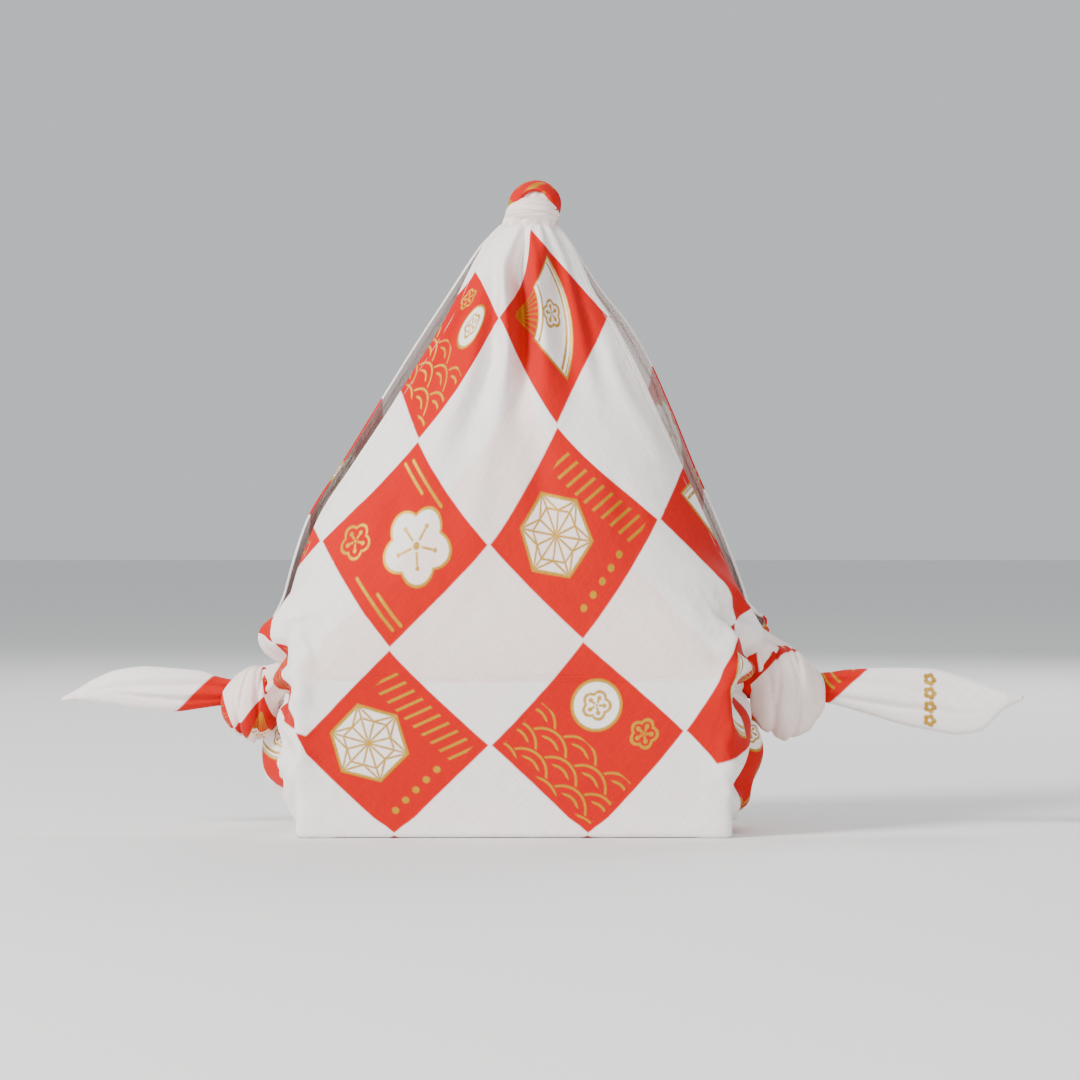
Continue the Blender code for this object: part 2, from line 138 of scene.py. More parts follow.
# Pleats that radiate over a side wall from its knot. angle is 0 straight down and grows
# towards the back, spread is the half width in degrees, and reach is where it is highest.
PLEAT_COLUMNS = ("angle", "spread", "rise", "reach")
PLEAT_DEPTH = 1.9
PLEAT_SINK = 4.9  # the pleats fall in from the outline by this much, and hardly pass it
PLEAT_SINK_REACH = 24.0
PLEAT_SINK_TOP = (64, 14)  # they fall in below this height, and no longer that much higher up
SIDE_PLEATS = {
    1: (
        (-148, 9, 2.4, 18), (-124, 8, -2.6, 20), (-100, 9, 3.0, 22), (-76, 8, -2.8, 24),
        (-52, 9, 3.2, 25), (-30, 8, -2.9, 22), (-8, 9, 2.8, 20), (14, 8, -3.0, 22),
        (38, 9, 3.1, 26), (62, 8, -2.7, 24), (88, 9, 2.9, 22), (114, 8, -2.5, 20),
        (140, 9, 2.3, 18),
    ),
    -1: (
        (-144, 9, 2.2, 18), (-118, 9, -2.7, 21), (-92, 8, 2.9, 23), (-70, 9, -3.0, 22),
        (-44, 8, 3.0, 26), (-20, 9, -2.8, 22), (6, 8, 3.1, 20), (30, 9, -2.9, 24),
        (54, 8, 2.8, 26), (80, 9, -2.8, 22), (106, 8, 2.7, 20), (132, 9, -2.4, 18),
    ),
}

# Where corners of the checks lie on the front: the place across and up, and the place on
# the flat cloth, across and forward from its middle.
FRONT_PRINT = (
    (-47.3, 0.0, -47.8, 52.8),
    (30.0, 0.0, 29.2, 52.8),
    (-86.0, 37.2, -86.3, 91.3),
    (-9.4, 37.2, -9.3, 91.3),
    (68.3, 43.0, 67.7, 91.3),
    (-49.5, 75.6, -47.8, 129.8),
    (27.7, 79.0, 29.2, 129.8),
    (-78.7, 118.6, -86.3, 168.3),
    (-10.0, 117.0, -9.3, 168.3),
    (58.7, 127.4, 67.7, 168.3),
    (-38.9, 159.6, -47.8, 206.8),
    (17.5, 165.4, 29.2, 206.8),
    (-6.2, 209.8, -9.3, 245.3),
    (38.7, 210.8, 67.7, 245.3),
    (-16.1, 229.8, -47.8, 283.8),
    (6.4, 247.4, 29.2, 283.8),
)
# How the print narrows up the back: how much of it one millimetre of cloth covers, by height.
BACK_SPREAD = ((0, 1.0), (77, 1.0), (119, 0.875), (163, 0.71), (208, 0.56), (238, 0.27), (249, 0.22))
BACK_FOOT = 52.5  # from the middle of the flat cloth to the foot of the back
LEAN_HEIGHT = 72.0  # above this the panels lean in
CLIMB = 0.915 * 1.04  # cloth that the back uses there for each millimetre of height
THROAT_ACROSS = (160.0, 195.0)  # the cloth's place at a throat: its middle and its hems
THROAT_FORWARD = 158.5

# Gathered stretches of cloth, as oval sections one after another: through the side knots
# they run along X with y and z across, and at the neck they run up Z with x and y across.
BUNDLE_COLUMNS = ("along", "across", "up", "half_across", "half_up")
RIGHT_CORE = (
    (90, 0, 68.0, 5.0, 9.0),
    (97, -1, 69.5, 8.5, 15.5),
    (104, -1, 66.0, 11.0, 15.0),
    (112, 0, 62.0, 11.0, 14.2),
    (119, 0, 59.6, 7.4, 10.6),
    (125, 0, 58.6, 3.0, 5.0),
)
LEFT_CORE = (
    (-89, 0, 62.0, 5.0, 8.0),
    (-95, -1, 60.5, 7.0, 8.5),
    (-102, -0.5, 56.0, 10.4, 10.8),
    (-110, -1.0, 54.2, 10.6, 11.4),
    (-113, 0, 54.8, 7.0, 8.6),
    (-117, 0, 55.4, 3.0, 4.6),
)
NECK = (
    (238.0, 5.6, 0, 9.0, 5.5),
    (244.5, 5.8, 0, 10.6, 6.8),
    (248.0, 6.0, 0, 10.9, 7.1),
    (252.5, 6.9, 0, 10.4, 7.9),
    (257.0, 8.2, 0, 9.8, 7.9),
    (261.0, 8.8, 0, 8.2, 6.8),
    (264.0, 9.0, 0, 4.5, 3.8),
)
BUNDLE_STEPS = 60
BUNDLE_SIDES = 120

# The loop of each knot. turn goes round the knot's heart in degrees, along is the place
# along the loop's axis, out is how far the loop runs from the heart, and cup is how far its
# two edges bend in towards it.
LOOP_COLUMNS = ("turn", "along", "out", "width", "thick", "cup")
RIGHT_HEART = (113, 0, 57)
LEFT_HEART = (-108, 0, 52)
ARCH_HEART = (8.6, 0, 255)
WRAP_HEART = (7.5, 0, 255)
RIGHT_LOOP = (
    (-30, -8.5, 10.0, 12, 5, 1),
    (0, -6.0, 15.5, 20, 7, 4),
    (30, -3.0, 16.0, 27, 7, 7),
    (90, -0.5, 14.0, 31, 7, 9),
    (140, -0.5, 16.0, 31, 7, 9),
    (180, -1.0, 16.8, 30, 7, 8.5),
    (230, -1.0, 14.0, 25, 7, 6),
    (270, -2.0, 12.0, 20, 6, 3),
    (300, -3.5, 8.0, 12, 5, 1),
)
LEFT_LOOP = (
    (-30, 6.0, 8.0, 10, 5, 1),
    (0, 3.0, 11.8, 15, 6, 3),
    (30, 0.5, 12.5, 20, 6, 4.5),
    (90, -1.0, 11.5, 24, 6, 6),
    (140, -0.5, 12.5, 24, 6, 6.5),
    (180, 0.5, 13.0, 21, 6, 6),
    (230, 1.0, 11.5, 19, 6, 4),
    (265, 1.5, 10.0, 15, 5, 2),
    (290, 2.5, 7.5, 10, 4, 1),
)
TOP_ARCH = (
    (-35, 0, 7.5, 8, 4, 0),
    (0, 0, 8.6, 12, 5, 1),
    (45, 0, 9.6, 15, 5, 1.5),
    (95, 0, 10.0, 16, 5, 1.5),
    (140, 0, 9.2, 15, 5, 1.5),
    (180, 0, 7.4, 12, 5, 1),
    (215, 0, 6.8, 8, 4, 0),
)
TOP_WRAP = (
    (0, -1.5, 9.4, 7, 4, 1),
    (45, 0.0, 8.8, 9, 5, 1.5),
    (90, 0.6, 8.0, 10, 5, 2),
    (135, 0.0, 8.8, 9, 5, 1.5),
    (180, -1.5, 9.0, 7, 4, 1),
    (225, -1.0, 8.6, 8, 5, 1.5),
    (270, -0.5, 8.0, 9, 5, 2),
    (315, -1.0, 8.6, 8, 5, 1.5),
    (360, -1.5, 9.4, 7, 4, 1),
)
LOOP_STEPS = 120
LOOP_SIDES = 120

# The tails, seen from the front: the top and bottom edge at each place along X, the cloth
# folded behind at each edge, and how far the front layer bows towards the viewer.
TAIL_COLUMNS = ("x", "top", "bottom", "behind", "bow", "y")
RIGHT_TAIL = (
    (122.0, 64.0, 53.0, 2.0, 0.2, 0.0),
    (130.0, 64.5, 51.5, 2.6, 1.0, 0.0),
    (138.0, 65.6, 49.4, 3.6, 1.8, 0.2),
    (148.0, 66.0, 46.4, 5.0, 2.8, 0.5),
    (160.0, 66.2, 42.8, 6.0, 3.2, 0.8),
    (173.0, 65.7, 40.1, 5.0, 3.0, 0.4),
    (183.0, 63.2, 38.6, 2.4, 2.4, -0.6),
    (192.0, 60.4, 40.0, 0.3, 1.6, -2.0),
    (202.0, 57.2, 49.0, 0.2, 0.8, -3.6),
    (209.5, 54.8, 53.2, 0.1, 0.2, -4.6),
)
LEFT_TAIL = (
    (-115.0, 61.0, 51.0, 2.0, 0.2, 0.0),
    (-122.0, 62.5, 50.5, 2.4, 0.8, 0.0),
    (-130.0, 65.0, 49.4, 3.2, 1.6, -0.4),
    (-140.0, 66.0, 48.2, 4.4, 2.4, -0.8),
    (-152.0, 66.8, 48.6, 4.0, 2.6, -0.6),
    (-163.0, 65.6, 50.3, 2.4, 2.0, 0.4),
    (-173.0, 62.0, 51.5, 0.6, 1.4, 1.8),
    (-182.0, 56.8, 52.6, 0.2, 0.6, 3.4),
    (-187.7, 53.6, 52.4, 0.1, 0.2, 4.4),
)
TAIL_FOLD = 2.4  # radius of the fold along each edge of a tail
TAIL_SECTIONS = 90
TAIL_STEPS = 90
# Creases along a tail: the place across from -1 to 1, how it drifts towards the tip, the
# half width and how far it stands out.
RIGHT_TAIL_CREASES = (
    (0.45, -0.5, 0.16, -1.0),
    (-0.2, 0.25, 0.2, 0.9),
    (-0.62, 0.5, 0.12, -0.9),
    (0.75, -0.3, 0.1, 0.6),
)
LEFT_TAIL_CREASES = (
    (0.35, -0.45, 0.16, -1.0),
    (-0.15, -0.1, 0.2, 0.9),
    (-0.55, 0.4, 0.14, -1.0),
    (0.78, -0.6, 0.1, 0.5),
)

BUNDLE_RIDGES = 8
BUNDLE_RIDGE = 0.045
# Pleats along each strand of a knot: the place across from -1 to 1, how far it wanders, the
# half width, how far it stands out in millimetres, and where in the turn it is deepest.
LOOP_PLEATS = (
    (-0.80, 0.06, 0.07, -1.1, 0.3),
    (-0.55, 0.12, 0.12, 0.8, 1.7),
    (-0.36, 0.10, 0.06, -1.2, 5.2),
    (-0.10, 0.16, 0.07, -1.7, 3.1),
    (0.12, 0.14, 0.13, 0.8, 0.9),
    (0.30, 0.12, 0.05, -1.3, 4.6),
    (0.50, 0.12, 0.07, -1.4, 2.0),
    (0.74, 0.08, 0.10, 0.7, 2.4),
)

# How firmly the front, the back and the side walls are held while the cloth settles. The whole cloth has
# 0.25 square metres.
FRONT_HOLD, BACK_HOLD, SIDE_HOLD = 0.7, 0.55, 0.11
HEM_HOLD, HEM_TAUT = 0.9, 9.0  # the hems above the side knots are pulled straight
PANEL_SLACK, SIDE_SLACK = 0.008, 0.25  # spare cloth, as a share of its length
# Where hold and slack change as the cloth settles: a place, and how far the change runs.
SIDE_WALL = (76, 10)  # from a panel to a side wall, across
SIDE_TOP = (112, 30)  # down to where a side wall has its full slack
NECK_START = (225, 20)
HEM_START = (95, 25)
SLACK_START = (70, 50)
SLACK_END = (180, 45)
SIDE_SLACK_RISE = 16  # a side wall gains its slack over this height
FOOT_HOLD = 8  # the foot is held firmly, and less so up to this height
FIXED_BELOW, FIXED_ABOVE = 0.5, 240
SIDE_REACH = 84  # a throat is further out than this
HEM_MARGIN = 2
SETTLE_SCALE = 0.01  # from millimetres to the units that the cloth settles in
SETTLE_FRAMES = 14
SETTLE_MOST = 9.0  # no point moves further than this
CLOTH_RULES = {
    "quality": 7,
    "mass": 0.12,
    "tension_stiffness": 18,
    "compression_stiffness": 18,
    "shear_stiffness": 8,
    "bending_stiffness": 0.7,
    "vertex_group_mass": "held",
    "pin_stiffness": 6.0,
    "vertex_group_shrink": "snug",
}
CLOTH_GRAVITY = 0.1
CONTACT_RULES = {
    "distance_min": 0.008,
    "use_self_collision": True,
    "self_distance_min": 0.004,
    "collision_quality": 3,
}
BOX_SKIN, BOX_GRIP = 0.004, 3
BOX_LOW, BOX_HIGH = (-85.5, -50.8, 0.8), (85.5, 50.8, 66.0)

HEM_RUN = 141.5  # how far the hem of a slit runs across, and back, on the flat cloth
HEM_WIDTH = 3.5
HEM_THICKNESS = 1.1
TAIL_HEM = 0.8  # a tail's hem is this share of that
FAR_FROM_HEM = 50.0
BUNCHED = 80.0  # stands for the distance to the hem where the cloth is bunched in a knot
BUNCHED_TINT = 0.5  # how much of the print behind shows through there
THROAT_RADIUS = 10.0  # within this of a throat the cloth is all gathered
FRONT_HEM_FREE = 100.0  # above this the front's print runs straight on to its edges
SPREAD_ROUNDS = 1500  # how often the places between the fixed ones are evened out
SIDE_PULL = 3.2  # the points lie closer together across than up
TOE_BLEND = 1.4 * TOE  # the base's print is undistorted, and blends into the walls' over this height

# The print: checks set on their points. A red check is CHECK wide along the threads, and
# one of them has its middle at this place along the two sets of threads.
CHECK = 54.45
RED_MIDDLE = (-43.9, 85.2)
PRINTED_REACH = 256.0  # the print runs on to the hems
PRINTED_SUM = 400.0  # but it stops short of the cloth's corners
# Where each knot's and tail's cloth lies in the print: its first place along the threads,
# the turn of its length in degrees, its scale along, and how much more it is gathered across.
PRINT_COLUMNS = ("u", "v", "turn", "scale", "gather")
PIECE_PRINTS = {
    "neck_gathers": (10.0, 85.0, 30, 0.6, 1),
    "top_arch": (-52.0, 74.0, 45, 0.5, 1),
    "top_wrap": (6.0, 80.0, 20, 0.5, 1),
    "right_knot_core": (-91.4, 57.5, 12, 0.8, 0.6),
    "right_knot_loop": (-35.3, 68.0, 25, 1.0, 1),
    "right_tail": (191.6, 200.0, 45, 0.887, 1),
    "left_knot_core": (6.0, 90.0, 20, 0.8, 1),
    "left_knot_loop": (-20.0, 110.0, -60, 2.0, 1.8),
    "left_tail": (-212.7, -204.9, 225, 0.8, 1),
}

VERMILION = (0.56, 0.004, 0.002, 1)
COTTON_WHITE = (0.88, 0.83, 0.80, 1)
COTTON_PINK = (0.87, 0.73, 0.70, 1)
SHOWING_THROUGH = (0.86, 0.64, 0.58, 1)
GOLD = (0.52, 0.285, 0.014, 1)
REVERSE_WHITE = (0.80, 0.74, 0.71, 1)
REVERSE_FADE = 0.45
COTTON_ROUGHNESS, GOLD_SMOOTHER, GOLD_METAL = 0.84, 0.34, 0.5
SHADER_VALUES = {"Sheen Weight": 0.05, "Sheen Roughness": 0.5, "Specular IOR Level": 0.15}
HANDLED_BUMP = (0.45, 0.0016)  # strength and depth of the creases from handling
WEAVE_BUMP = (0.5, 0.00014)
# A row of gold blossoms near one corner of the cloth, in millimetres on the flat cloth.
CORNER_ROW_PLACE, CORNER_ROW_MIDDLE, CORNER_ROW_REACH = 320.5, 5.9, 10.0
CORNER_ROW_STEP, CORNER_BLOSSOM = 5.0, 2.5
GOLD_LINE = 0.024  # width of a gold line, as a share of a check
THREAD = 0.5  # from one thread to the next
RED_HALF = 0.4925  # half a red check, as a share of a check
SEAM = 2.9  # from the edge of the cloth to the hem's stitches
STITCH_STEP, STITCH_HALF = 2.4, 0.75

LENS = 121.0
CAMERA_PLACE = (0.0105, -1.5, 0.119)
FLOOR_SIZE = 40.0
FLOOR_COLOUR = (0.78, 0.78, 0.77, 1)
FLOOR_ROUGHNESS = 0.9
WORLD_COLOUR = (0.9, 0.92, 0.95, 1)
WORLD_STRENGTH = 0.70
# Soft lights: name, place, aim, size, power and colour.
LIGHTS = (
    ("key_light", (-1.45, -1.1, 1.25), (0, 0, 0.12), (0.6, 0.6), 74.0, (1.0, 0.985, 0.965)),
    ("front_light", (0.35, -1.7, 0.35), (0, 0, 0.12), (0.6, 0.6), 11.0, (1.0, 0.99, 0.98)),
    ("back_light", (0.5, 1.5, 1.2), (0, 0, 0.15), (1.0, 0.8), 22.0, (1.0, 1.0, 1.0)),
)


def rows_as_named(columns, rows):
    """A table's rows, each with its values under the names of their columns."""
    return [dict(zip(columns, row)) for row in rows]


def row_at(columns, rows, at):
    """The other columns of a table at any place along its first one, without overshoot."""
    return {name: column_at(columns.index(name), rows, at) for name in columns[1:]}


def column_at(column, rows, at):
    """One column of a table at any place along its first one, as a monotone cubic."""
    keys = np.array([row[0] for row in rows], float)
    values = np.array([row[column] for row in rows], float)
    if keys[0] > keys[-1]:
        keys, values = keys[::-1], values[::-1]
    rises = np.diff(values) / np.diff(keys)
    slopes = np.zeros(len(keys))
    same = rises[:-1] * rises[1:] > 0
    slopes[1:-1][same] = 2 / (1 / rises[:-1][same] + 1 / rises[1:][same])
    slopes[0], slopes[-1] = rises[0], rises[-1]
    i = np.clip(np.searchsorted(keys, at) - 1, 0, len(keys) - 2)
    span = keys[i + 1] - keys[i]
    t = np.clip((at - keys[i]) / span, 0, 1)
    return (
        values[i] * (1 + 2 * t) * (1 - t) ** 2
        + values[i + 1] * t * t * (3 - 2 * t)
        + span * (slopes[i] * t * (1 - t) ** 2 - slopes[i + 1] * t * t * (1 - t))
    )


def ease(t):
    """0 to 1, with no slope at either end."""
    t = np.clip(t, 0, 1)
    return t * t * (3 - 2 * t)


def past(value, change):
    """0 before the change's place, and 1 once the change has run."""
    place, run = change
    return ease((value - place) / run)


def short_of(value, change):
    """0 past the change's place, and 1 as far below it as the change runs."""
    place, run = change
    return ease((place - value) / run)


def bump(distance, width):
    """A soft ridge's height, 1 on its line."""
    return np.exp(-((distance / width) ** 2))


def evenly(line, steps, spacing=1.0):
    """The line again in that many steps, equal ones or ones that widen along it."""
    along = np.concatenate([[0], np.cumsum(np.linalg.norm(np.diff(line, axis=0), axis=1))])
    places = along[-1] * np.linspace(0, 1, steps + 1) ** spacing
    return np.stack([np.interp(places, along, line[:, k]) for k in range(line.shape[1])], axis=1)


def panel_folds(face, x, height):
    """How far the folds down a panel lift it at these places across."""
    lift = np.zeros(len(x))
    for fold in rows_as_named(FOLD_COLUMNS, FRONT_FOLDS if face < 0 else BACK_FOLDS):
        top, end = fold["path"][0][0], fold["path"][-1][0]
        share = (top - height) / (top - end)
        if not 0 < share < 1:
            continue
        strength = ease(share / 0.22) * ease((1 - share) / 0.6)
        width = fold["top_width"] + share * (fold["end_width"] - fold["top_width"])
        lift += fold["rise"] * strength * bump(x - column_at(1, fold["path"], height), width)
    return lift


def neck_pleats(ray, height, face):
    """The short pleats below the neck, each dying away at its own height."""
    depth = ease((height - NECK_PLEAT_END) / (NECK_HEIGHT - NECK_PLEAT_END))
    wave = np.cos(NECK_PLEATS * ray * math.pi / 2 + NECK_PLEAT_WANDER * np.sin(3.1 * ray + face))
    return NECK_PLEAT_RISE * wave * depth


def broad_sway(x, height, face):
    """The slow unevenness of cloth that nothing stretches flat."""
    leaning = ease((height - 66) / 60)
    slow = np.sin(x / 17 + 1.7 * face) * np.sin(height / 21 + 0.6) + 0.6 * np.sin(x / 9 - height / 14)
    return SWAY * slow * (0.35 + 0.65 * leaning)


def side_pleats(y, height, side):
    """How far the pleats round the side knot's throat lift the side wall."""
    distance = np.hypot(y, height - THROAT_HEIGHT)
    angle = np.degrees(np.arctan2(y, THROAT_HEIGHT - height))
    lift = np.zeros(len(y))
    for pleat in rows_as_named(PLEAT_COLUMNS, SIDE_PLEATS[side]):
        share = distance / pleat["reach"]
        away = (angle - pleat["angle"] + 180) % 360 - 180
        lift += pleat["rise"] * bump(away, pleat["spread"]) * (share * np.exp(1 - share)) ** 0.6
    share = distance / PLEAT_SINK_REACH
    below = 1 - past(height, PLEAT_SINK_TOP)
    return PLEAT_DEPTH * lift - PLEAT_SINK * below * (share * np.exp(1 - share)) ** 0.6


def plan_line(row, half, height, face):
    """A quarter of the bag's plan from its hem or side to the middle of its face, without folds."""
    turn = np.linspace(0, math.pi / 2, 2 * PLAN_STEPS + 1)
    power = 2 / row["square"]
    inward = np.sin(turn) ** power
    lens = 1 - np.clip(np.cos(turn), 0, 1) ** (power * row["square"] * LENS_POWER)
    leaning = ease((height - LENS_HEIGHTS[0]) / (LENS_HEIGHTS[1] - LENS_HEIGHTS[0]))
    inward = (1 - leaning) * inward + leaning * lens
    nose = (np.hypot(inward, NOSE) - NOSE) / (math.hypot(1, NOSE) - NOSE)
    x = half * np.clip(np.cos(turn), 0, 1) ** power + row["flare"] * (1 - nose)
    y = row["gap"] + (row["depth"] - row["gap"]) * inward
    line = np.stack([x, y], axis=1)
    side_part = evenly(line[: PLAN_STEPS + 1], SIDE_STEPS, SIDE_SPACING)
    face_part = evenly(line[PLAN_STEPS:], FACE_STEPS[face] // 2)
    return np.concatenate([side_part, face_part[1:]])


def outward(line):
    """The direction out of the bag at each point of a quarter of its plan."""
    along = np.gradient(line, axis=0)
    normal = np.stack([along[:, 1], -along[:, 0]], axis=1)
    normal /= np.linalg.norm(normal, axis=1)[:, None]
    normal[0] = (1, 0)
    normal[-1] = (0, 1)
    return normal


def quarter(height, side, face):
    """One quarter of the bag at a height, with its folds and pleats."""
    row = row_at(BAG_COLUMNS, BAG_ROWS, max(height, BAG_ROWS[0][0]))
    toe = TOE * (1 - math.sqrt(1 - (1 - min(height / TOE, 1)) ** 2))
    middle = (row["right"] - row["left"]) / 2
    tuck = row["tuck"] if face < 0 else 0.0
    half = (row["right"] + row["left"]) / 2 - tuck - row["flare"]
    line = plan_line(row, half, height, face)
    normal = outward(line)
    across = middle + side * line[:, 0]
    ray = side * line[:, 0] / (half + row["flare"])
    lift = panel_folds(face, across, height) + neck_pleats(ray, height, face)
    lift += broad_sway(across, height, face) * ease((1 - np.abs(ray)) / 0.2)
    nearer_side = 1 - ease((line[:, 1] - row["gap"]) / (row["depth"] - row["gap"])) ** 2
    lift += side_pleats(line[:, 1] * face, height, side) * nearer_side
    lift *= ease(height / 12)
    line += normal * (lift - toe)[:, None]
    line[0, 1] = max(line[0, 1], 0)
    return np.stack([middle + side * line[:, 0], face * line[:, 1], np.full(len(line), height)], axis=1)


def panel(height, face):
    """One panel's points at a height, from its left edge to its right edge."""
    left, right = quarter(height, -1, face), quarter(height, 1, face)
    return np.concatenate([left, right[-2::-1]])


def thin_plate(places, values, wanted):
    """A smooth surface through the values at the places, read at the wanted places."""

    def curve(distance):
        return np.where(distance > 0, distance**2 * np.log(np.maximum(distance, 1e-9)), 0)

    count = len(places)
    flat = np.hstack([np.ones((count, 1)), places])
    system = np.zeros((count + 3, count + 3))
    system[:count, :count] = curve(np.linalg.norm(places[:, None] - places[None], axis=2))
    system[:count, count:] = flat
    system[count:, :count] = flat.T
    solved = np.linalg.solve(system, np.vstack([values, np.zeros((3, values.shape[1]))]))
    near = curve(np.linalg.norm(wanted[:, None] - places[None], axis=2))
    return near @ solved[:count] + np.hstack([np.ones((len(wanted), 1)), wanted]) @ solved[count:]


def front_places(points):
    """Where points on the front lie on the flat cloth, as (across, backward) pairs."""
    rows = np.array(FRONT_PRINT, float)
    found = thin_plate(rows[:, :2], rows[:, 2:], points[..., (0, 2)].reshape(-1, 2))
    return found.reshape(points.shape[:-1] + (2,)) * (1, -1)


def back_places(points, heights):
    """Where points on the back lie on the flat cloth, as (across, backward) pairs."""
    found = np.empty(points.shape[:-1] + (2,))
    for i, height in enumerate(heights):
        row = row_at(BAG_COLUMNS, BAG_ROWS, max(height, BAG_ROWS[0][0]))
        middle = (row["right"] - row["left"]) / 2
        found[i, :, 0] = (points[i, :, 0] - middle) / column_at(1, BACK_SPREAD, height)
        found[i, :, 1] = BACK_FOOT + min(height, LEAN_HEIGHT) + CLIMB * max(height - LEAN_HEIGHT, 0)
    return found


def throat_place(y, height, side):
    """Where the cloth round a side knot's throat lies on the flat cloth."""
    share = np.arctan2(y, THROAT_HEIGHT - height) / math.pi
    across = THROAT_ACROSS[0] + (THROAT_ACROSS[1] - THROAT_ACROSS[0]) * np.abs(share) ** 1.5
    return np.stack([side * across, THROAT_FORWARD * share], axis=-1)


def hem_places(edge, side, face):
    """The flat cloth's places along one hem of a slit, from the throat up to the neck."""
    steps = np.linalg.norm(np.diff(edge, axis=0), axis=1)
    along = np.concatenate([[0], np.cumsum(steps)])
    gone = HEM_RUN * along / along[-1]
    return np.stack([side * (THROAT_ACROSS[1] - gone), face * (THROAT_FORWARD + gone)], axis=-1)


def spread_places(places, fixed, closed):
    """Spreads the flat cloth's places smoothly over the points that aren't fixed."""
    for _ in range(SPREAD_ROUNDS):
        for face in (-1, 1):
            here, other = places[face], places[-face]
            beside = np.empty_like(here)
            beside[:, 1:-1] = (here[:, :-2] + here[:, 2:]) / 2
            for end, inner in ((0, 1), (-1, -2)):
                beside[:, end] = here[:, inner]
                beside[:closed, end] = (here[:closed, inner] + other[:closed, inner]) / 2
            above = np.concatenate([here[1:], here[-1:]])
            below = np.concatenate([here[:1], here[:-1]])
            moved = (SIDE_PULL * beside + (above + below) / 2) / (1 + SIDE_PULL)
            places[face] = np.where(fixed[face][..., None], here, moved)
        for end in (0, -1):
            places[1][:closed, end] = places[-1][:closed, end]
    return places


def join_to_front(hem, edge, free):
    """Leads a front hem's places from the throat to where the print runs on to the edge."""
    share = np.linspace(0, 1, free)[:, None]
    hem[:free] = (1 - share) * hem[0] + share * edge[free]
    hem[free:] = edge[free:]


def fix_places(held, grid, heights, face, closed):
    """Sets one panel's known places on the flat cloth, and returns which of them are fixed."""
    columns = np.arange(grid.shape[1])
    last = grid.shape[1] - SIDE_STEPS
    keep = np.tile((columns >= SIDE_STEPS) & (columns < last), (len(heights), 1))
    if face < 0:
        keep[heights > FRONT_HEM_FREE] = True
    toe = ease(heights / TOE_BLEND)[:, None, None]
    held[:] = toe * held + (1 - toe) * grid[..., :2]
    keep[0] = True
    keep[-1] = True
    distance = np.hypot(grid[..., 1], grid[..., 2] - THROAT_HEIGHT)
    for side, half_row in ((-1, columns < SIDE_STEPS), (1, columns >= last)):
        end = 0 if side < 0 else -1
        near = (distance < THROAT_RADIUS) & half_row
        held[near] = throat_place(grid[..., 1], grid[..., 2], side)[near]
        keep |= near
        hem = hem_places(grid[closed:, end], side, face)
        if face < 0:
            free = int(np.sum(heights <= FRONT_HEM_FREE)) - closed
            join_to_front(hem, held[closed:, end], free)
        held[closed:, end] = hem
        keep[closed:, end] = True
    return keep


def flat_cloth_places(points, heights, closed):
    """Each point's place on the flat cloth, on the front and on the back."""
    places = {-1: front_places(points[-1]), 1: back_places(points[1], heights)}
    fixed = {face: fix_places(places[face], points[face], heights, face, closed) for face in (-1, 1)}
    return spread_places(places, fixed, closed)


def thread_places(places, edge):
    """Places on the flat cloth as distances along its two sets of threads, and to its hem."""
    across, backward = places[..., 0], places[..., 1]
    root = math.sqrt(2)
    return np.stack([(across + backward) / root, (across - backward) / root, edge], axis=-1)


def hem_distance(points, closed):
    """How far each point of a panel lies from the nearer hem of its slits."""
    steps = np.linalg.norm(np.diff(points, axis=1), axis=2)
    along = np.concatenate([np.zeros((len(points), 1)), np.cumsum(steps, axis=1)], axis=1)
    nearer = np.minimum(along, along[:, -1:] - along)
    nearer[:closed] = FAR_FROM_HEM
    return nearer


def grid_faces(index, flip=False):
    """Quads between the rows of a grid of vertex numbers."""
    low, high = index[:-1], index[1:]
    quads = np.stack([low[:, :-1], low[:, 1:], high[:, 1:], high[:, :-1]], axis=-1).reshape(-1, 4)
    return quads[:, ::-1] if flip else quads


def make_mesh(name, points, faces, threads, materials, thickness=None, smoother=0):
    """An object from points and faces in millimetres, with its places on the flat cloth."""
    mesh = bpy.data.meshes.new(name)
    mesh.from_pydata((np.asarray(points) * MM).tolist(), [], [list(map(int, face)) for face in faces])
    layer = mesh.attributes.new("thread_place", "FLOAT_VECTOR", "POINT")
    layer.data.foreach_set("vector", np.asarray(threads, np.float32).ravel())
    for material in materials:
        mesh.materials.append(material)
    mesh.shade_smooth()
    mesh.update()
    made = linked(name, mesh)
    if smoother:
        finer = made.modifiers.new("finer", "SUBSURF")
        finer.levels = finer.render_levels = smoother
    if thickness is not None:
        group = made.vertex_groups.new(name="cloth_thickness")
        for value in np.unique(thickness):
            group.add(np.flatnonzero(thickness == value).tolist(), float(value), "REPLACE")
        shell = made.modifiers.new("thickness", "SOLIDIFY")
        shell.thickness = HEM_THICKNESS * MM
        shell.offset = -1.0
        shell.vertex_group = "cloth_thickness"
        shell.material_offset = 1
    return made


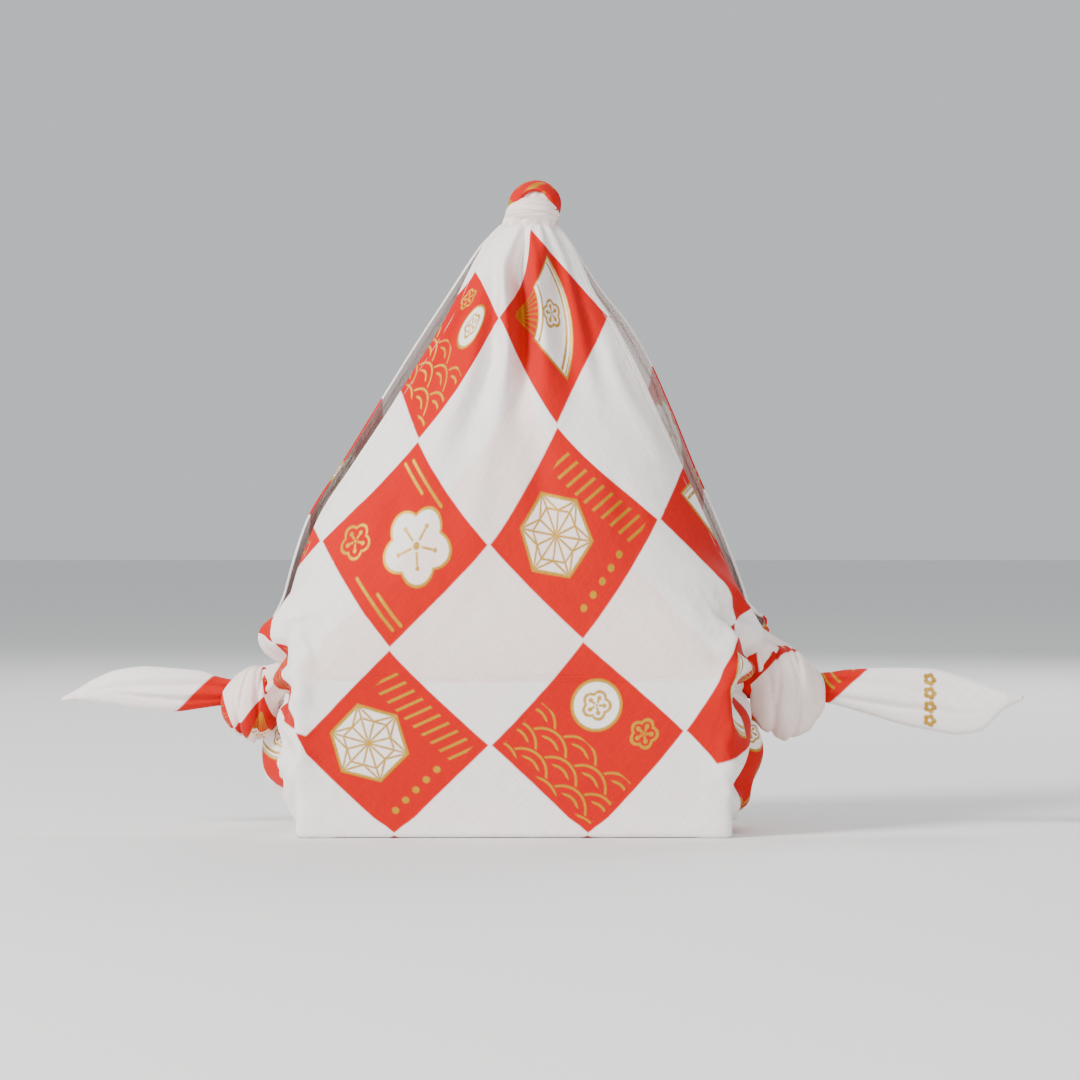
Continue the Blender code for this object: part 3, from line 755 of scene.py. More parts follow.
class Surface:
    """A mesh in the making: its points, their places on the flat cloth, and its faces."""

    def __init__(self):
        self.points, self.threads, self.faces = [], [], []
        self.count = 0

    def add(self, points, threads):
        """Adds points in any arrangement, and returns their numbers in the same one."""
        shape = points.shape[:-1]
        index = self.count + np.arange(math.prod(shape)).reshape(shape)
        self.count += index.size
        self.points.append(points.reshape(-1, 3))
        self.threads.append(threads.reshape(-1, 3))
        return index

    def close_below(self, rim):
        """Fills a rim with rings that shrink to its middle."""
        rim_points = np.concatenate(self.points)[rim]
        centre = rim_points.mean(axis=0)
        rings = [rim]
        for k in range(1, BASE_RINGS):
            ring = centre + (rim_points - centre) * (1 - k / BASE_RINGS)
            rings.append(self.add(ring, thread_places(ring[:, :2], np.full(len(ring), FAR_FROM_HEM))))
        middle = self.add(centre[None], thread_places(centre[None, :2], np.full(1, FAR_FROM_HEM)))[0]
        looped = np.array([np.append(ring, ring[0]) for ring in rings])
        self.faces += list(grid_faces(looped, flip=True))
        inner = looped[-1]
        self.faces += [(inner[i], middle, inner[i + 1]) for i in range(len(inner) - 1)]

    def used(self):
        """Its points, places and faces, without the points that no face has."""
        points, threads = np.concatenate(self.points), np.concatenate(self.threads)
        used = np.unique(np.concatenate([np.ravel(face) for face in self.faces]))
        renumber = np.zeros(len(points), int)
        renumber[used] = np.arange(len(used))
        return points[used], threads[used], [renumber[list(face)] for face in self.faces]


def levels(low, high):
    """Heights from the low to the high one, evenly spaced."""
    return np.linspace(low, high, 1 + round((high - low) / LEVEL_SPACING))


def make_bag(materials):
    """The bag: a flat base, walls up to the side knots, and two panels up to the neck."""
    toe = TOE * (1 - np.cos(np.linspace(0, math.pi / 2, TOE_LEVELS, endpoint=False)))
    walls = levels(TOE, THROAT_HEIGHT)
    heights = np.concatenate([toe, walls, levels(THROAT_HEIGHT, NECK_HEIGHT)[1:]])
    closed = len(toe) + len(walls)
    grids = {face: np.array([panel(height, face) for height in heights]) for face in (-1, 1)}
    for end in (0, -1):
        grids[-1][:closed, end, 1] = 0
        grids[1][:closed, end] = grids[-1][:closed, end]
    places = flat_cloth_places(grids, heights, closed)
    surface = Surface()
    index = {}
    for face, grid in grids.items():
        index[face] = surface.add(grid, thread_places(places[face], hem_distance(grid, closed)))
    for end in (0, -1):
        index[1][:closed, end] = index[-1][:closed, end]
    surface.faces += list(grid_faces(index[-1])) + list(grid_faces(index[1], flip=True))
    surface.close_below(np.concatenate([index[-1][0], index[1][0][-2:0:-1]]))
    points, threads, faces = surface.used()
    thickness = np.where(threads[:, 2] < HEM_WIDTH, 1.0, CLOTH / HEM_THICKNESS)
    points = settled(points, faces, threads[:, 2])
    return make_mesh("printed_bag", points, faces, threads, materials, thickness, smoother=1)


def held_and_slack(points, hem):
    """How firmly each point is held while the cloth settles, and how much cloth is spare there."""
    x, y, z = points.T
    throat = (np.hypot(y, z - THROAT_HEIGHT) < THROAT_RADIUS + 1) & (np.abs(x) >= SIDE_REACH)
    face_hold = np.where(y < 0, FRONT_HOLD, BACK_HOLD)
    sideways = past(np.abs(x), SIDE_WALL) * short_of(z, SIDE_TOP)
    hold = face_hold * (1 - sideways) + SIDE_HOLD * sideways
    hold = np.where(z < FIXED_BELOW, 1.0, np.maximum(hold, 1 - ease(z / FOOT_HOLD)))
    hold = np.where(z > FIXED_ABOVE, 1.0, np.maximum(hold, past(z, NECK_START)))
    hold = np.where(throat, 1.0, hold)
    taut = (1 - ease((hem - HEM_MARGIN) / HEM_TAUT)) * past(z, HEM_START)
    hold = np.maximum(hold, HEM_HOLD * taut)
    slack = PANEL_SLACK * past(z, SLACK_START)
    slack = slack + (SIDE_SLACK - PANEL_SLACK) * sideways * ease(z / SIDE_SLACK_RISE)
    slack *= (1 - taut) * (1 - 0.8 * past(z, SLACK_END))
    return hold, slack


def linked(name, mesh):
    """A new object with this mesh, in the scene."""
    made = bpy.data.objects.new(name, mesh)
    bpy.context.scene.collection.objects.link(made)
    return made


def cloth_to_settle(points, faces, hem):
    """A working copy of the cloth with its simulation, held and slack where it should be."""
    hold, slack = held_and_slack(points, hem)
    mesh = bpy.data.meshes.new("settling")
    mesh.from_pydata((points * SETTLE_SCALE).tolist(), [], [list(map(int, face)) for face in faces])
    work = linked("settling", mesh)
    for name, weights in (("held", hold), ("snug", 1 - slack / slack.max())):
        group = work.vertex_groups.new(name=name)
        for k, weight in enumerate(weights):
            group.add([k], float(weight), "REPLACE")
    cloth = work.modifiers.new("settling", "CLOTH")
    for rules, values in ((cloth.settings, CLOTH_RULES), (cloth.collision_settings, CONTACT_RULES)):
        for name, value in values.items():
            setattr(rules, name, value)
    cloth.settings.effector_weights.gravity = CLOTH_GRAVITY
    cloth.settings.shrink_min = -float(slack.max())
    cloth.settings.shrink_max = 0.0
    cloth.point_cache.frame_end = SETTLE_FRAMES
    return work


def settled(points, faces, hem):
    """Lets the spare cloth buckle into folds round the wrapped box."""
    work = cloth_to_settle(points, faces, hem)
    box = wrapped_box()
    scene = bpy.context.scene
    for step in range(1, SETTLE_FRAMES + 1):
        scene.frame_set(step)
    posed = work.evaluated_get(bpy.context.evaluated_depsgraph_get()).data
    moved = np.empty(len(posed.vertices) * 3)
    posed.vertices.foreach_get("co", moved)
    moved = moved.reshape(-1, 3) / SETTLE_SCALE - points
    length = np.linalg.norm(moved, axis=1)[:, None]
    moved *= np.minimum(1, SETTLE_MOST / np.maximum(length, 1e-6))
    for made in (work, box):
        data = made.data
        bpy.data.objects.remove(made, do_unlink=True)
        bpy.data.meshes.remove(data)
    scene.frame_set(1)
    points = points + moved
    points[:, 2] = np.maximum(points[:, 2], 0)
    return points


def wrapped_box():
    """The box inside, which is only there while the cloth settles."""
    low, high = np.array(BOX_LOW), np.array(BOX_HIGH)
    corners = [[(low, high)[k >> axis & 1][axis] * SETTLE_SCALE for axis in range(3)] for k in range(8)]
    faces = [(0, 2, 3, 1), (4, 5, 7, 6), (0, 1, 5, 4), (2, 6, 7, 3), (0, 4, 6, 2), (1, 3, 7, 5)]
    mesh = bpy.data.meshes.new("wrapped_box")
    mesh.from_pydata(corners, [], faces)
    box = linked("wrapped_box", mesh)
    box.modifiers.new("collision", "COLLISION")
    box.collision.thickness_outer = BOX_SKIN
    box.collision.cloth_friction = BOX_GRIP
    return box


def tube_faces(rows, sides, closed):
    """Quads round a tube, with its ends capped unless it closes on itself."""
    index = np.arange(rows * sides).reshape(rows, sides)
    index = np.concatenate([index, index[:, :1]], axis=1)
    if closed:
        index = np.concatenate([index, index[:1]])
    faces = list(grid_faces(index))
    if not closed:
        faces += [list(index[0, :-1][::-1]), list(index[-1, :-1])]
    return faces


def print_on(name, along, across):
    """The print's place on a knot or tail, from distances along and across it."""
    row = dict(zip(PRINT_COLUMNS, PIECE_PRINTS[name]))
    turn = math.radians(row["turn"])
    across = across * row["gather"]
    u = row["u"] + row["scale"] * (along * math.cos(turn) - across * math.sin(turn))
    v = row["v"] + row["scale"] * (along * math.sin(turn) + across * math.cos(turn))
    return np.stack([u, v, np.full(np.shape(u), BUNCHED)], axis=-1)


def make_bundle(name, rows, upright, materials):
    """A gathered stretch of cloth: oval sections with pleats along it."""
    places = np.linspace(rows[0][0], rows[-1][0], BUNDLE_STEPS)
    row = row_at(BUNDLE_COLUMNS, rows, places)
    angle = np.linspace(0, 2 * math.pi, BUNDLE_SIDES, endpoint=False)[None]
    along = places[:, None]
    ridge = 1 + BUNDLE_RIDGE * np.cos(BUNDLE_RIDGES * angle + 0.05 * along)
    ridge += BUNDLE_RIDGE * 0.6 * np.cos((BUNDLE_RIDGES + 5) * angle - 0.11 * along)
    a = row["across"][:, None] + row["half_across"][:, None] * ridge * np.cos(angle)
    b = row["up"][:, None] + row["half_up"][:, None] * ridge * np.sin(angle)
    run = along + 0 * angle
    points = np.stack([a, b, run] if upright else [run, a, b], axis=-1)
    around = angle * (row["half_across"] + row["half_up"])[:, None] / 2
    threads = print_on(name, run, around)
    faces = tube_faces(BUNDLE_STEPS, BUNDLE_SIDES, False)
    if upright:
        faces = [list(face)[::-1] for face in faces]
    return make_mesh(name, points.reshape(-1, 3), faces, threads.reshape(-1, 3), materials)


def strand_axes(line, radial, closed):
    """The directions across a strand and out of it, at each point of its line."""
    if closed:
        tangent = np.roll(line, -1, axis=0) - np.roll(line, 1, axis=0)
    else:
        tangent = np.gradient(line, axis=0)
    tangent /= np.linalg.norm(tangent, axis=1)[:, None]
    out = radial - tangent * np.sum(radial * tangent, axis=1)[:, None]
    out /= np.linalg.norm(out, axis=1)[:, None]
    return np.cross(tangent, out), out


def make_loop(name, rows, heart, axes, materials):
    """A strand of pleated cloth that runs round the heart of a knot."""
    axis, first, quarter_on = np.array(axes, float)
    closed = rows[-1][0] - rows[0][0] == 360
    turns = np.linspace(rows[0][0], rows[-1][0], LOOP_STEPS, endpoint=not closed)
    row = row_at(LOOP_COLUMNS, rows, turns)
    angle = np.radians(turns)[:, None]
    radial = np.cos(angle) * first + np.sin(angle) * quarter_on
    line = heart + row["along"][:, None] * axis + row["out"][:, None] * radial
    wide, out = strand_axes(line, radial, closed)
    turn = np.linspace(0, 2 * math.pi, LOOP_SIDES, endpoint=False)[None]
    width, thick, cup = (row[key][:, None] for key in ("width", "thick", "cup"))
    across = width / 2 * np.cos(turn)
    outer = np.clip(np.sin(turn), 0, 1) ** 0.5
    pleat = loop_pleats(across / (width / 2), turns[:, None]) * outer * np.minimum(width / 20, 1.2)
    rise = thick / 2 * np.sin(turn) - cup * np.cos(turn) ** 2 + pleat
    points = line[:, None] + wide[:, None] * across[..., None] + out[:, None] * rise[..., None]
    steps = np.linalg.norm(np.diff(line, axis=0), axis=1)
    run = np.concatenate([[0], np.cumsum(steps)])[:, None]
    threads = print_on(name, run + 0 * across, across * np.sign(np.sin(turn) + 1e-9))
    faces = [list(face)[::-1] for face in tube_faces(LOOP_STEPS, LOOP_SIDES, closed)]
    return make_mesh(name, points.reshape(-1, 3), faces, threads.reshape(-1, 3), materials)


def loop_pleats(across, turns):
    """Pleats along a strand, that wander and die away as it turns."""
    lift = np.zeros(np.broadcast(across, turns).shape)
    for place, drift, width, rise, phase in LOOP_PLEATS:
        middle = place + drift * np.sin(np.radians(turns) + phase)
        strength = 0.6 + 0.4 * np.cos(np.radians(turns) * 1.5 + phase)
        lift += rise * strength * bump(across - middle, width)
    return lift


def tail_section(row):
    """The tail across at one place: behind the top edge, down the front and behind the bottom."""
    height = row["top"] - row["bottom"]
    radius = min(TAIL_FOLD, height / 3)
    straight = height / 2 - radius
    turns = np.linspace(math.pi / 2, -math.pi / 2, 25)
    fold = np.stack([radius * np.sin(turns), straight + radius * np.cos(turns)], axis=1)
    top = np.concatenate([[(radius, straight - row["behind"])], fold])
    bottom = top[::-1] * (1, -1)
    line = evenly(np.concatenate([top, bottom]), TAIL_STEPS)
    share = line[:, 1] / (height / 2)
    return line, share, (row["top"] + row["bottom"]) / 2


def make_tail(name, rows, creases, materials):
    """A tail: the corner of the cloth, folded along both edges and spreading from the knot."""
    places = np.linspace(rows[0][0], rows[-1][0], TAIL_SECTIONS)
    points, threads = [], []
    for x in places:
        row = row_at(TAIL_COLUMNS, rows, x)
        line, share, middle = tail_section(row)
        gone = (x - rows[0][0]) / (rows[-1][0] - rows[0][0])
        lift = row["bow"] * (1 - share * share)
        for place, slope, width, rise in creases:
            strength = rise * math.sin(math.pi * min(1, 0.15 + gone))
            lift = lift + strength * bump(share - place - slope * gone, width)
        x_row = np.full(len(line), x)
        points.append(np.stack([x_row, row["y"] + line[:, 0] - lift, middle + line[:, 1]], axis=1))
        steps = np.concatenate([[0], np.cumsum(np.linalg.norm(np.diff(line, axis=0), axis=1))])
        across = steps[len(steps) // 2] - steps
        threads.append(print_on(name, np.full(len(line), abs(x - rows[0][0])), across))
    points, threads = np.array(points), np.array(threads)
    threads[..., 2] = np.minimum(hem_distance(points, 0), np.abs(points[..., 0] - rows[-1][0]) * 0.5)
    index = np.arange(points[..., 0].size).reshape(points.shape[:2])
    faces = grid_faces(index, flip=rows[0][0] < 0)
    thickness = np.where(threads[..., 2].ravel() < HEM_WIDTH, TAIL_HEM, CLOTH / HEM_THICKNESS)
    return make_mesh(name, points.reshape(-1, 3), faces, threads.reshape(-1, 3), materials, thickness)


class Field:
    """A number that varies over the cloth. Formulas on it become nodes of a material."""

    def __init__(self, tree, socket):
        self.tree, self.socket = tree, socket

    def made(self, operation, *others, clamp=False):
        node = self.tree.nodes.new("ShaderNodeMath")
        node.operation = operation
        node.use_clamp = clamp
        for slot, value in zip(node.inputs, (self,) + others):
            if isinstance(value, Field):
                self.tree.links.new(value.socket, slot)
            else:
                slot.default_value = value
        return Field(self.tree, node.outputs[0])

    def __add__(self, other):
        return self.made("ADD", other)

    def __sub__(self, other):
        return self.made("SUBTRACT", other)

    def __mul__(self, other):
        return self.made("MULTIPLY", other)

    def __truediv__(self, other):
        return self.made("DIVIDE", other)

    def __abs__(self):
        return self.made("ABSOLUTE")

    def __mod__(self, other):
        return self.made("FLOORED_MODULO", other)

    def less_from(self, constant):
        return self.made("MULTIPLY_ADD", -1.0, constant)

    def most(self, other):
        return self.made("MAXIMUM", other)

    def cos(self):
        return self.made("COSINE")

    def sin(self):
        return self.made("SINE")

    def scaled(self, gain):
        """This times the gain, kept from 0 to 1."""
        return self.made("MULTIPLY", gain, clamp=True)

    def inside(self, soft=0.010):
        """1 where this signed distance is below nothing, with a narrow soft edge."""
        return self.made("MULTIPLY_ADD", -1 / soft, 0.5, clamp=True)

    def line(self, width=GOLD_LINE):
        """1 on a line of this width where this distance is nothing."""
        return (abs(self) - width / 2).inside()


def length_of(x, y):
    return (x * x + y * y).made("SQRT")


def angle_of(x, y):
    return y.made("ARCTAN2", x)


def any_of(masks):
    """1 where any of the masks is 1."""
    found = masks[0]
    for mask in masks[1:]:
        found = found.most(mask)
    return found


# The motifs are drawn in a check that is 1 wide, with x and y from its middle. Each gives
# where it is white and where it is gold.


def blossom(x, y, radius):
    """Signed distance from the edge of a five-petalled plum blossom."""
    petals = abs((angle_of(x, y) * 2.5).cos())
    return length_of(x, y) - (petals * (0.24 * radius) + 0.76 * radius)


def blossom_marks(x, y, radius):
    """A blossom's gold lines: its outline, its heart and its stamens."""
    away = length_of(x, y)
    wedge = 2 * math.pi / 5
    turned = (angle_of(x, y) + wedge / 2) % wedge - wedge / 2
    stamen = (abs(turned) * away - 0.009).most(abs(away - radius * 0.33) - radius * 0.17).inside()
    tip = (length_of(turned * away, away - radius * 0.56) - 0.017).inside()
    heart = (away - radius * 0.1).inside()
    return any_of([blossom(x, y, radius).line(), stamen, tip, heart])


def fan_motif(x, y):
    """A folding fan: its paper, and its ribs and a blossom in gold."""
    px, py = x + 0.34, y + 0.34
    away = length_of(px, py)
    turned = angle_of(px, py) - math.pi / 4
    sides = (abs(turned) - 0.60) * away
    paper = (abs(away - 0.57) - 0.20).most(sides)
    rib = ((turned + 0.60) % 0.15 - 0.075) * away
    ribs = (abs(rib) - 0.008).most(abs(away - 0.21) - 0.17).most(sides).inside()
    bands = any_of([(away - 0.43).line(), (away - 0.71).line(), (away - 0.75).line(0.014)])
    bands = bands * (sides + 0.012).inside()
    flower = blossom_marks(x - 0.06, y - 0.03, 0.105)
    edge = paper.line(0.018)
    return paper.inside(), any_of([ribs, bands, flower, edge])


def blossom_motif(x, y):
    """A large white plum blossom, a small one in gold, and bars of mist."""
    bx, by = x + 0.11, y - 0.09
    marks = [blossom_marks(bx, by, 0.27), blossom_marks(x - 0.27, y + 0.27, 0.125)]
    bars = ((0.40, -0.05, 0.40), (0.335, 0.14, 0.44), (-0.40, -0.42, 0.04), (-0.335, -0.44, -0.16))
    for height, start, end in bars:
        half = (end - start) / 2
        reach = (abs(x - (start + end) / 2) - half).most(0.0)
        marks.append((length_of(reach, y - height) - 0.012).inside())
    return blossom(bx, by, 0.27).inside(), any_of(marks)


def wave_motif(x, y):
    """Rows of rounded waves below, and a white moon above."""
    radius = 0.20
    sea = y + 0.02
    drawn, covered = None, None
    for step in (0, 1, 2, 3):
        row = (y / (radius / 2)).made("FLOOR") - step + 1
        shift = (row % 2.0) * radius
        wx = (x + shift + radius) % (2 * radius) - radius
        away = length_of(wx, y - row * (radius / 2) + radius)
        here = (away - radius).inside()
        rings = any_of([(away - radius * share).line(0.017) for share in (0.92, 0.62, 0.32)])
        rings = rings * here
        drawn = rings if drawn is None else drawn + rings * covered.less_from(1.0)
        covered = here if covered is None else covered.most(here)
    waves = drawn * (sea.most(abs(x) - 0.44).most(abs(y) - 0.44)).inside()
    mx, my = x - 0.13, y - 0.22
    moon = length_of(mx, my) - 0.175
    marks = [waves, moon.line(), blossom_marks(x + 0.27, y - 0.29, 0.10), blossom_marks(mx, my, 0.10)]
    return moon.inside(), any_of(marks)


def hemp_motif(x, y):
    """A white hexagon of hemp leaves, and slanting strokes beside it."""
    radius = 0.29
    hx, hy = x - 0.12, y + 0.10
    away = length_of(hx, hy)
    wedge = math.pi / 3
    turned = abs((angle_of(hx, hy) + wedge / 2) % wedge - wedge / 2)
    fx, fy = away * turned.cos(), away * turned.sin()
    hexagon = fx - 0.866 * radius
    third = 0.577 * radius
    spoke = fx * 0.5 - fy * 0.866
    leaf = ((fx - third) * 0.866 - fy * 0.5).most((fx - third) * -1.0)
    rib = fy.most(fx - third)
    inner = any_of([spoke.line(0.016), leaf.line(0.016), rib.line(0.016)]) * hexagon.inside()
    stroke = ((x + y * 0.35) + 0.5) % 0.085 - 0.0425
    field = (abs(y - 0.32) - 0.10).most(abs(x + 0.02) - 0.40)
    strokes = (abs(stroke) - 0.011).most(field).inside()
    side = (abs(x + 0.36) - 0.05).most(abs(y + 0.12) - 0.26)
    dots = (length_of(x + 0.36, (y + 0.5) % 0.11 - 0.055) - 0.026).most(side).inside()
    return hexagon.inside(), any_of([inner, hexagon.line(), strokes, dots])


def corner_blossoms(u, v):
    """A short row of small gold blossoms across one corner of the cloth."""
    out = ((u + v) * math.sqrt(0.5) - CORNER_ROW_PLACE) / CHECK
    across = (v - u) * math.sqrt(0.5) - CORNER_ROW_MIDDLE
    place = (across % CORNER_ROW_STEP - CORNER_ROW_STEP / 2) / CHECK
    flowers = blossom(out, place, CORNER_BLOSSOM / CHECK).inside()
    hearts = (length_of(out, place) - 0.25 * CORNER_BLOSSOM / CHECK).inside()
    return (flowers - hearts) * (abs(across) - CORNER_ROW_REACH).inside(0.5)


def fill(tree, slot, value):
    """Sets an input of a node, or links it to a field or an output."""
    if isinstance(value, Field):
        tree.links.new(value.socket, slot)
    elif isinstance(value, bpy.types.NodeSocket):
        tree.links.new(value, slot)
    else:
        slot.default_value = value


def node(tree, kind, **inputs):
    """A node with some of its inputs set or linked."""
    made = tree.nodes.new(kind)
    for name, value in inputs.items():
        fill(tree, made.inputs[name], value)
    return made


def thread_place(tree):
    """The place on the flat cloth that each point of a piece carries."""
    place = tree.nodes.new("ShaderNodeAttribute")
    place.attribute_name = "thread_place"
    return place.outputs["Vector"]


def noise(tree, place, scale, detail=2.0, roughness=0.5):
    """Soft noise over the cloth, from 0 to 1."""
    made = node(tree, "ShaderNodeTexNoise", Vector=place, Scale=scale, Detail=detail, Roughness=roughness)
    return Field(tree, made.outputs["Fac"])


def mixed(tree, share, first, second):
    """A colour from the first to the second."""
    made = tree.nodes.new("ShaderNodeMix")
    made.data_type = "RGBA"
    for k, value in ((0, share), (6, first), (7, second)):
        fill(tree, made.inputs[k], value)
    return made.outputs[2]


def check_middle(row, axis):
    """The middle of a check along one set of threads, from its number."""
    return row * CHECK + RED_MIDDLE[axis]


def dimmer(colour, share):
    return tuple(share * part for part in colour[:3]) + (1,)


def printed_checks(tree, u, v, flat):
    """The check's number along each set of threads, the place in it, and 1 where it is red."""
    cell_u = (u - (RED_MIDDLE[0] - CHECK / 2)) / CHECK
    cell_v = (v - (RED_MIDDLE[1] - CHECK / 2)) / CHECK
    row_u, row_v = cell_u.made("FLOOR"), cell_v.made("FLOOR")
    x, y = cell_u - row_u - 0.5, cell_v - row_v - 0.5
    wobble = (noise(tree, flat, 0.11, 3.0) - 0.5) * 1.1
    edge = abs(x).most(abs(y)) - RED_HALF + wobble * 0.008
    even = ((row_u + row_v) % 2.0).less_from(1.0)
    middle_u, middle_v = abs(check_middle(row_u, 0)), abs(check_middle(row_v, 1))
    whole = (middle_u.most(middle_v) - PRINTED_REACH).most(middle_u + middle_v - PRINTED_SUM)
    return row_u, row_v, x, y, edge.inside(0.012) * even * whole.inside(1.0)


def chosen_motifs(tree, row_u, row_v, x, y):
    number = node(tree, "ShaderNodeCombineXYZ", X=row_u, Y=row_v, Z=3.0)
    chance = node(tree, "ShaderNodeTexWhiteNoise", Vector=number.outputs[0])
    kind = Field(tree, chance.outputs["Value"])
    turned = node(tree, "ShaderNodeSeparateColor", Color=chance.outputs["Color"])
    flip_x, flip_y = ((Field(tree, turned.outputs[k]) - 0.5).made("SIGN") for k in (1, 2))
    x, y = x * flip_x, y * flip_y
    white, gold = None, None
    motifs = (fan_motif, blossom_motif, wave_motif, hemp_motif)
    for k, motif in enumerate(motifs):
        chosen = (abs(kind - (k + 0.5) / len(motifs)) - 0.5 / len(motifs)).inside(0.001)
        patch, marks = motif(x, y)
        white = patch * chosen if white is None else white + patch * chosen
        gold = marks * chosen if gold is None else gold + marks * chosen
    return white, gold


def slubs(tree, u, v, along, across):
    """Thicker and thinner threads, from 0 to 1, drawn out along one set of them."""
    drawn = node(tree, "ShaderNodeCombineXYZ", X=u * along, Y=v * across)
    return noise(tree, drawn.outputs[0], 1.0, 3.0)


def cloth_colour(tree, hem, flat, slub, red, white):
    """The ground's white and the red on it, with the print behind where the cloth is bunched."""
    mottle = noise(tree, flat, 0.05, 4.0, 0.6)
    ground = mixed(tree, (mottle - 0.48).scaled(2.2), COTTON_WHITE, COTTON_PINK)
    bunched = hem.less_from(FAR_FROM_HEM + 5).inside(1.0)
    ground = mixed(tree, bunched * BUNCHED_TINT, ground, SHOWING_THROUGH)
    ink = mixed(tree, (mottle * 0.5 + slub * 0.5).scaled(1.0), VERMILION, dimmer(VERMILION, 0.86))
    colour = mixed(tree, red, ground, ink)
    return mixed(tree, white, colour, ground), mixed(tree, mottle, GOLD, dimmer(GOLD, 0.75))


def print_group():
    """The print and the weave, shared by both sides of the cloth."""
    tree = bpy.data.node_groups.new("check_print", "ShaderNodeTree")
    sockets = (("Colour", "NodeSocketColor"), ("Gold", "NodeSocketFloat"), ("Height", "NodeSocketFloat"))
    for name, kind in sockets:
        tree.interface.new_socket(name, in_out="OUTPUT", socket_type=kind)
    parts = node(tree, "ShaderNodeSeparateXYZ", Vector=thread_place(tree))
    u, v, hem = (Field(tree, parts.outputs[k]) for k in range(3))
    flat = node(tree, "ShaderNodeCombineXYZ", X=u, Y=v).outputs[0]
    row_u, row_v, x, y, red = printed_checks(tree, u, v, flat)
    white, gold = chosen_motifs(tree, row_u, row_v, x, y)
    worn = (noise(tree, flat, 0.9, 2.0) - 0.2).scaled(3.0)
    gold = (gold * red).most(corner_blossoms(u, v)) * (worn * 0.25 + 0.75)
    slub = slubs(tree, u, v, 0.05, 1.4)
    threads = slub + slubs(tree, u, v, 1.4, 0.05) - 1.0
    colour, gilding = cloth_colour(tree, hem, flat, slub, red, white * red)
    colour = mixed(tree, gold, colour, gilding)
    along = ((u + v) * 0.5) % STITCH_STEP - STITCH_STEP / 2
    stitches = (abs(along) - STITCH_HALF).inside(0.3) * (abs(hem - SEAM) - 0.16).inside(0.15)
    colour = mixed(tree, stitches * 0.5, colour, dimmer(COTTON_WHITE, 0.72))
    toned = node(tree, "ShaderNodeVectorMath", Vector=colour)
    toned.operation = "SCALE"
    tree.links.new((threads * 0.2 + 1.0).socket, toned.inputs["Scale"])
    weave = (u * (math.pi / THREAD)).cos() * (v * (math.pi / THREAD)).cos()
    groove = (abs(hem - SEAM) - 0.3).inside(0.5)
    height = weave * 0.16 + threads * 0.45 + gold * 0.25 - groove * 1.4 - stitches * 0.8
    node(tree, "NodeGroupOutput", Colour=toned.outputs[0], Gold=gold, Height=height)
    return tree


def cotton(name, group, fade):
    """Printed cotton, or its reverse, where the print shows faded through the cloth."""
    material = bpy.data.materials.new(name)
    material.use_nodes = True
    tree = material.node_tree
    shader = tree.nodes["Principled BSDF"]
    printed = tree.nodes.new("ShaderNodeGroup")
    printed.node_tree = group
    colour, gold, height = printed.outputs
    shader.inputs["Roughness"].default_value = COTTON_ROUGHNESS
    if fade:
        colour = mixed(tree, fade, colour, REVERSE_WHITE)
    else:
        shine = Field(tree, gold)
        tree.links.new((shine * -GOLD_SMOOTHER + COTTON_ROUGHNESS).socket, shader.inputs["Roughness"])
        tree.links.new((shine * GOLD_METAL).socket, shader.inputs["Metallic"])
    tree.links.new(colour, shader.inputs["Base Color"])
    for slot, value in SHADER_VALUES.items():
        shader.inputs[slot].default_value = value
    handled = noise(tree, thread_place(tree), 0.075, 3.0, 0.55)
    strength, depth = HANDLED_BUMP
    soft = node(tree, "ShaderNodeBump", Strength=strength, Distance=depth, Height=handled)
    strength, depth = WEAVE_BUMP
    fine = node(
        tree, "ShaderNodeBump", Strength=strength, Distance=depth, Height=height, Normal=soft.outputs[0]
    )
    tree.links.new(fine.outputs[0], shader.inputs["Normal"])
    return material


def plain(name, colour, roughness):
    material = bpy.data.materials.new(name)
    material.use_nodes = True
    shader = material.node_tree.nodes["Principled BSDF"]
    shader.inputs["Base Color"].default_value = colour
    shader.inputs["Roughness"].default_value = roughness
    return material


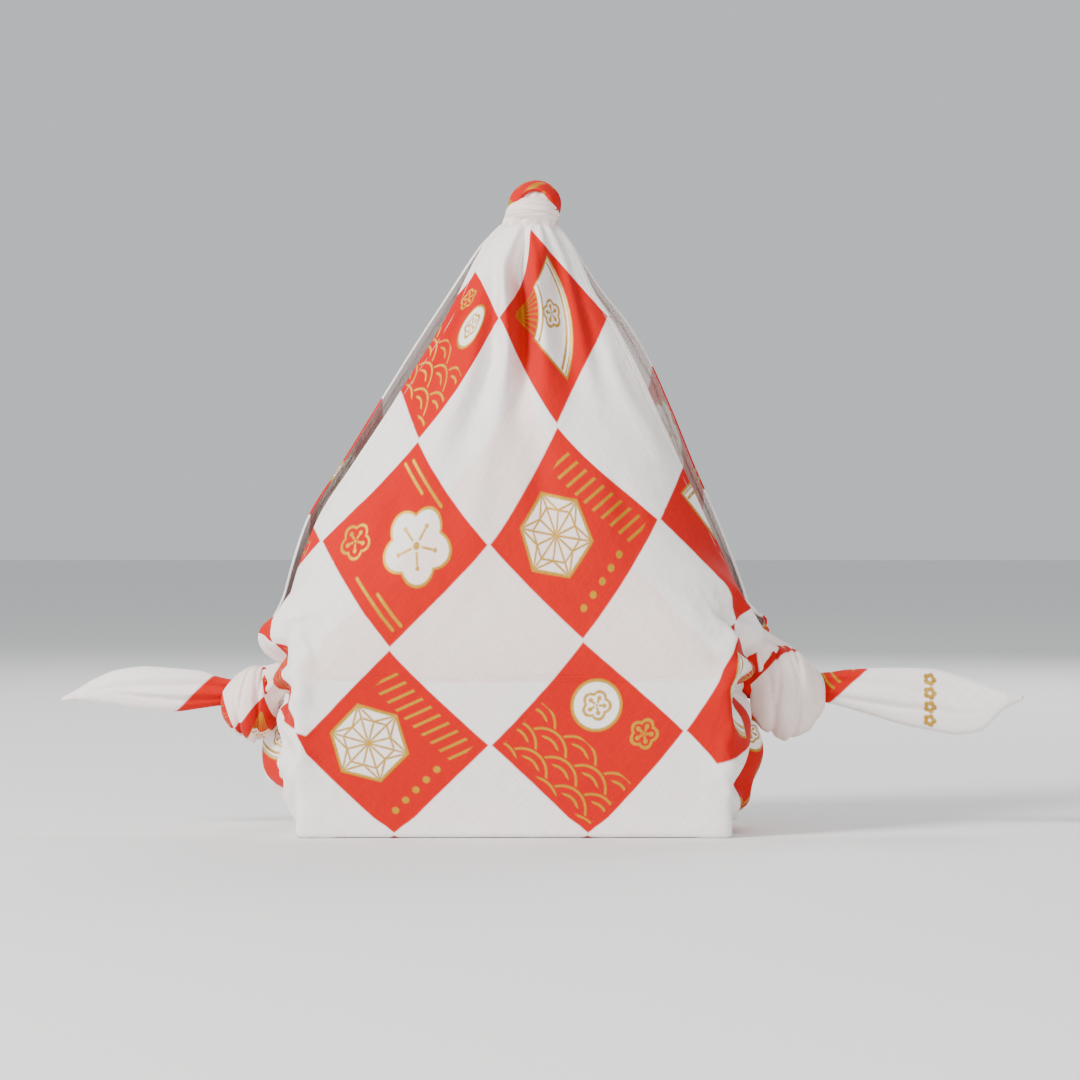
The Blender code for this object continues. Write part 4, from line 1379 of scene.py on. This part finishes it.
def make_cloth():
    """Every piece of the cloth. Returns the bag and the knots and tails that go with it."""
    group = print_group()
    both = [cotton("printed_cotton", group, 0), cotton("printed_cotton_reverse", group, REVERSE_FADE)]
    outer = both[:1]
    side_axes = (RIGHTWARD, UP, FORWARD)
    bag = make_bag(both)
    others = [
        make_bundle("neck_gathers", NECK, True, outer),
        make_loop("top_arch", TOP_ARCH, ARCH_HEART, (BACKWARD, LEFTWARD, UP), outer),
        make_loop("top_wrap", TOP_WRAP, WRAP_HEART, (UP, LEFTWARD, FORWARD), outer),
        make_bundle("right_knot_core", RIGHT_CORE, False, outer),
        make_loop("right_knot_loop", RIGHT_LOOP, RIGHT_HEART, side_axes, outer),
        make_tail("right_tail", RIGHT_TAIL, RIGHT_TAIL_CREASES, both),
        make_bundle("left_knot_core", LEFT_CORE, False, outer),
        make_loop("left_knot_loop", LEFT_LOOP, LEFT_HEART, side_axes, outer),
        make_tail("left_tail", LEFT_TAIL, LEFT_TAIL_CREASES, both),
    ]
    return bag, others


def soft_light(name, place, aim, size, power, colour):
    """A large soft studio light."""
    lamp = bpy.data.lights.new(name, "AREA")
    lamp.shape = "RECTANGLE"
    lamp.size, lamp.size_y = size
    lamp.energy = power
    lamp.color = colour
    made = bpy.data.objects.new(name, lamp)
    made.location = place
    facing = mathutils.Vector(aim) - mathutils.Vector(place)
    made.rotation_euler = facing.to_track_quat("-Z", "Y").to_euler()
    bpy.context.scene.collection.objects.link(made)


def make_studio():
    """A plain pale floor, soft light and the camera."""
    bpy.ops.mesh.primitive_plane_add(size=FLOOR_SIZE)
    floor = bpy.context.object
    floor.name = "studio_floor"
    floor.data.materials.append(plain("studio_floor", FLOOR_COLOUR, FLOOR_ROUGHNESS))
    world = bpy.data.worlds.new("studio")
    world.use_nodes = True
    world.node_tree.nodes["Background"].inputs["Color"].default_value = WORLD_COLOUR
    world.node_tree.nodes["Background"].inputs["Strength"].default_value = WORLD_STRENGTH
    bpy.context.scene.world = world
    for light in LIGHTS:
        soft_light(*light)
    camera = bpy.data.objects.new("camera", bpy.data.cameras.new("camera"))
    camera.data.lens = LENS
    camera.data.sensor_width = 36.0
    camera.data.clip_start = 0.05
    camera.location = CAMERA_PLACE
    camera.rotation_euler = (math.pi / 2, 0, 0)
    bpy.context.scene.collection.objects.link(camera)
    bpy.context.scene.camera = camera


def main():
    """Makes the cloth and the studio."""
    bag, others = make_cloth()
    for piece in [bag] + others:
        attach(piece, "root")
        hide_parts("wrap_cloth")
    make_studio()


main()
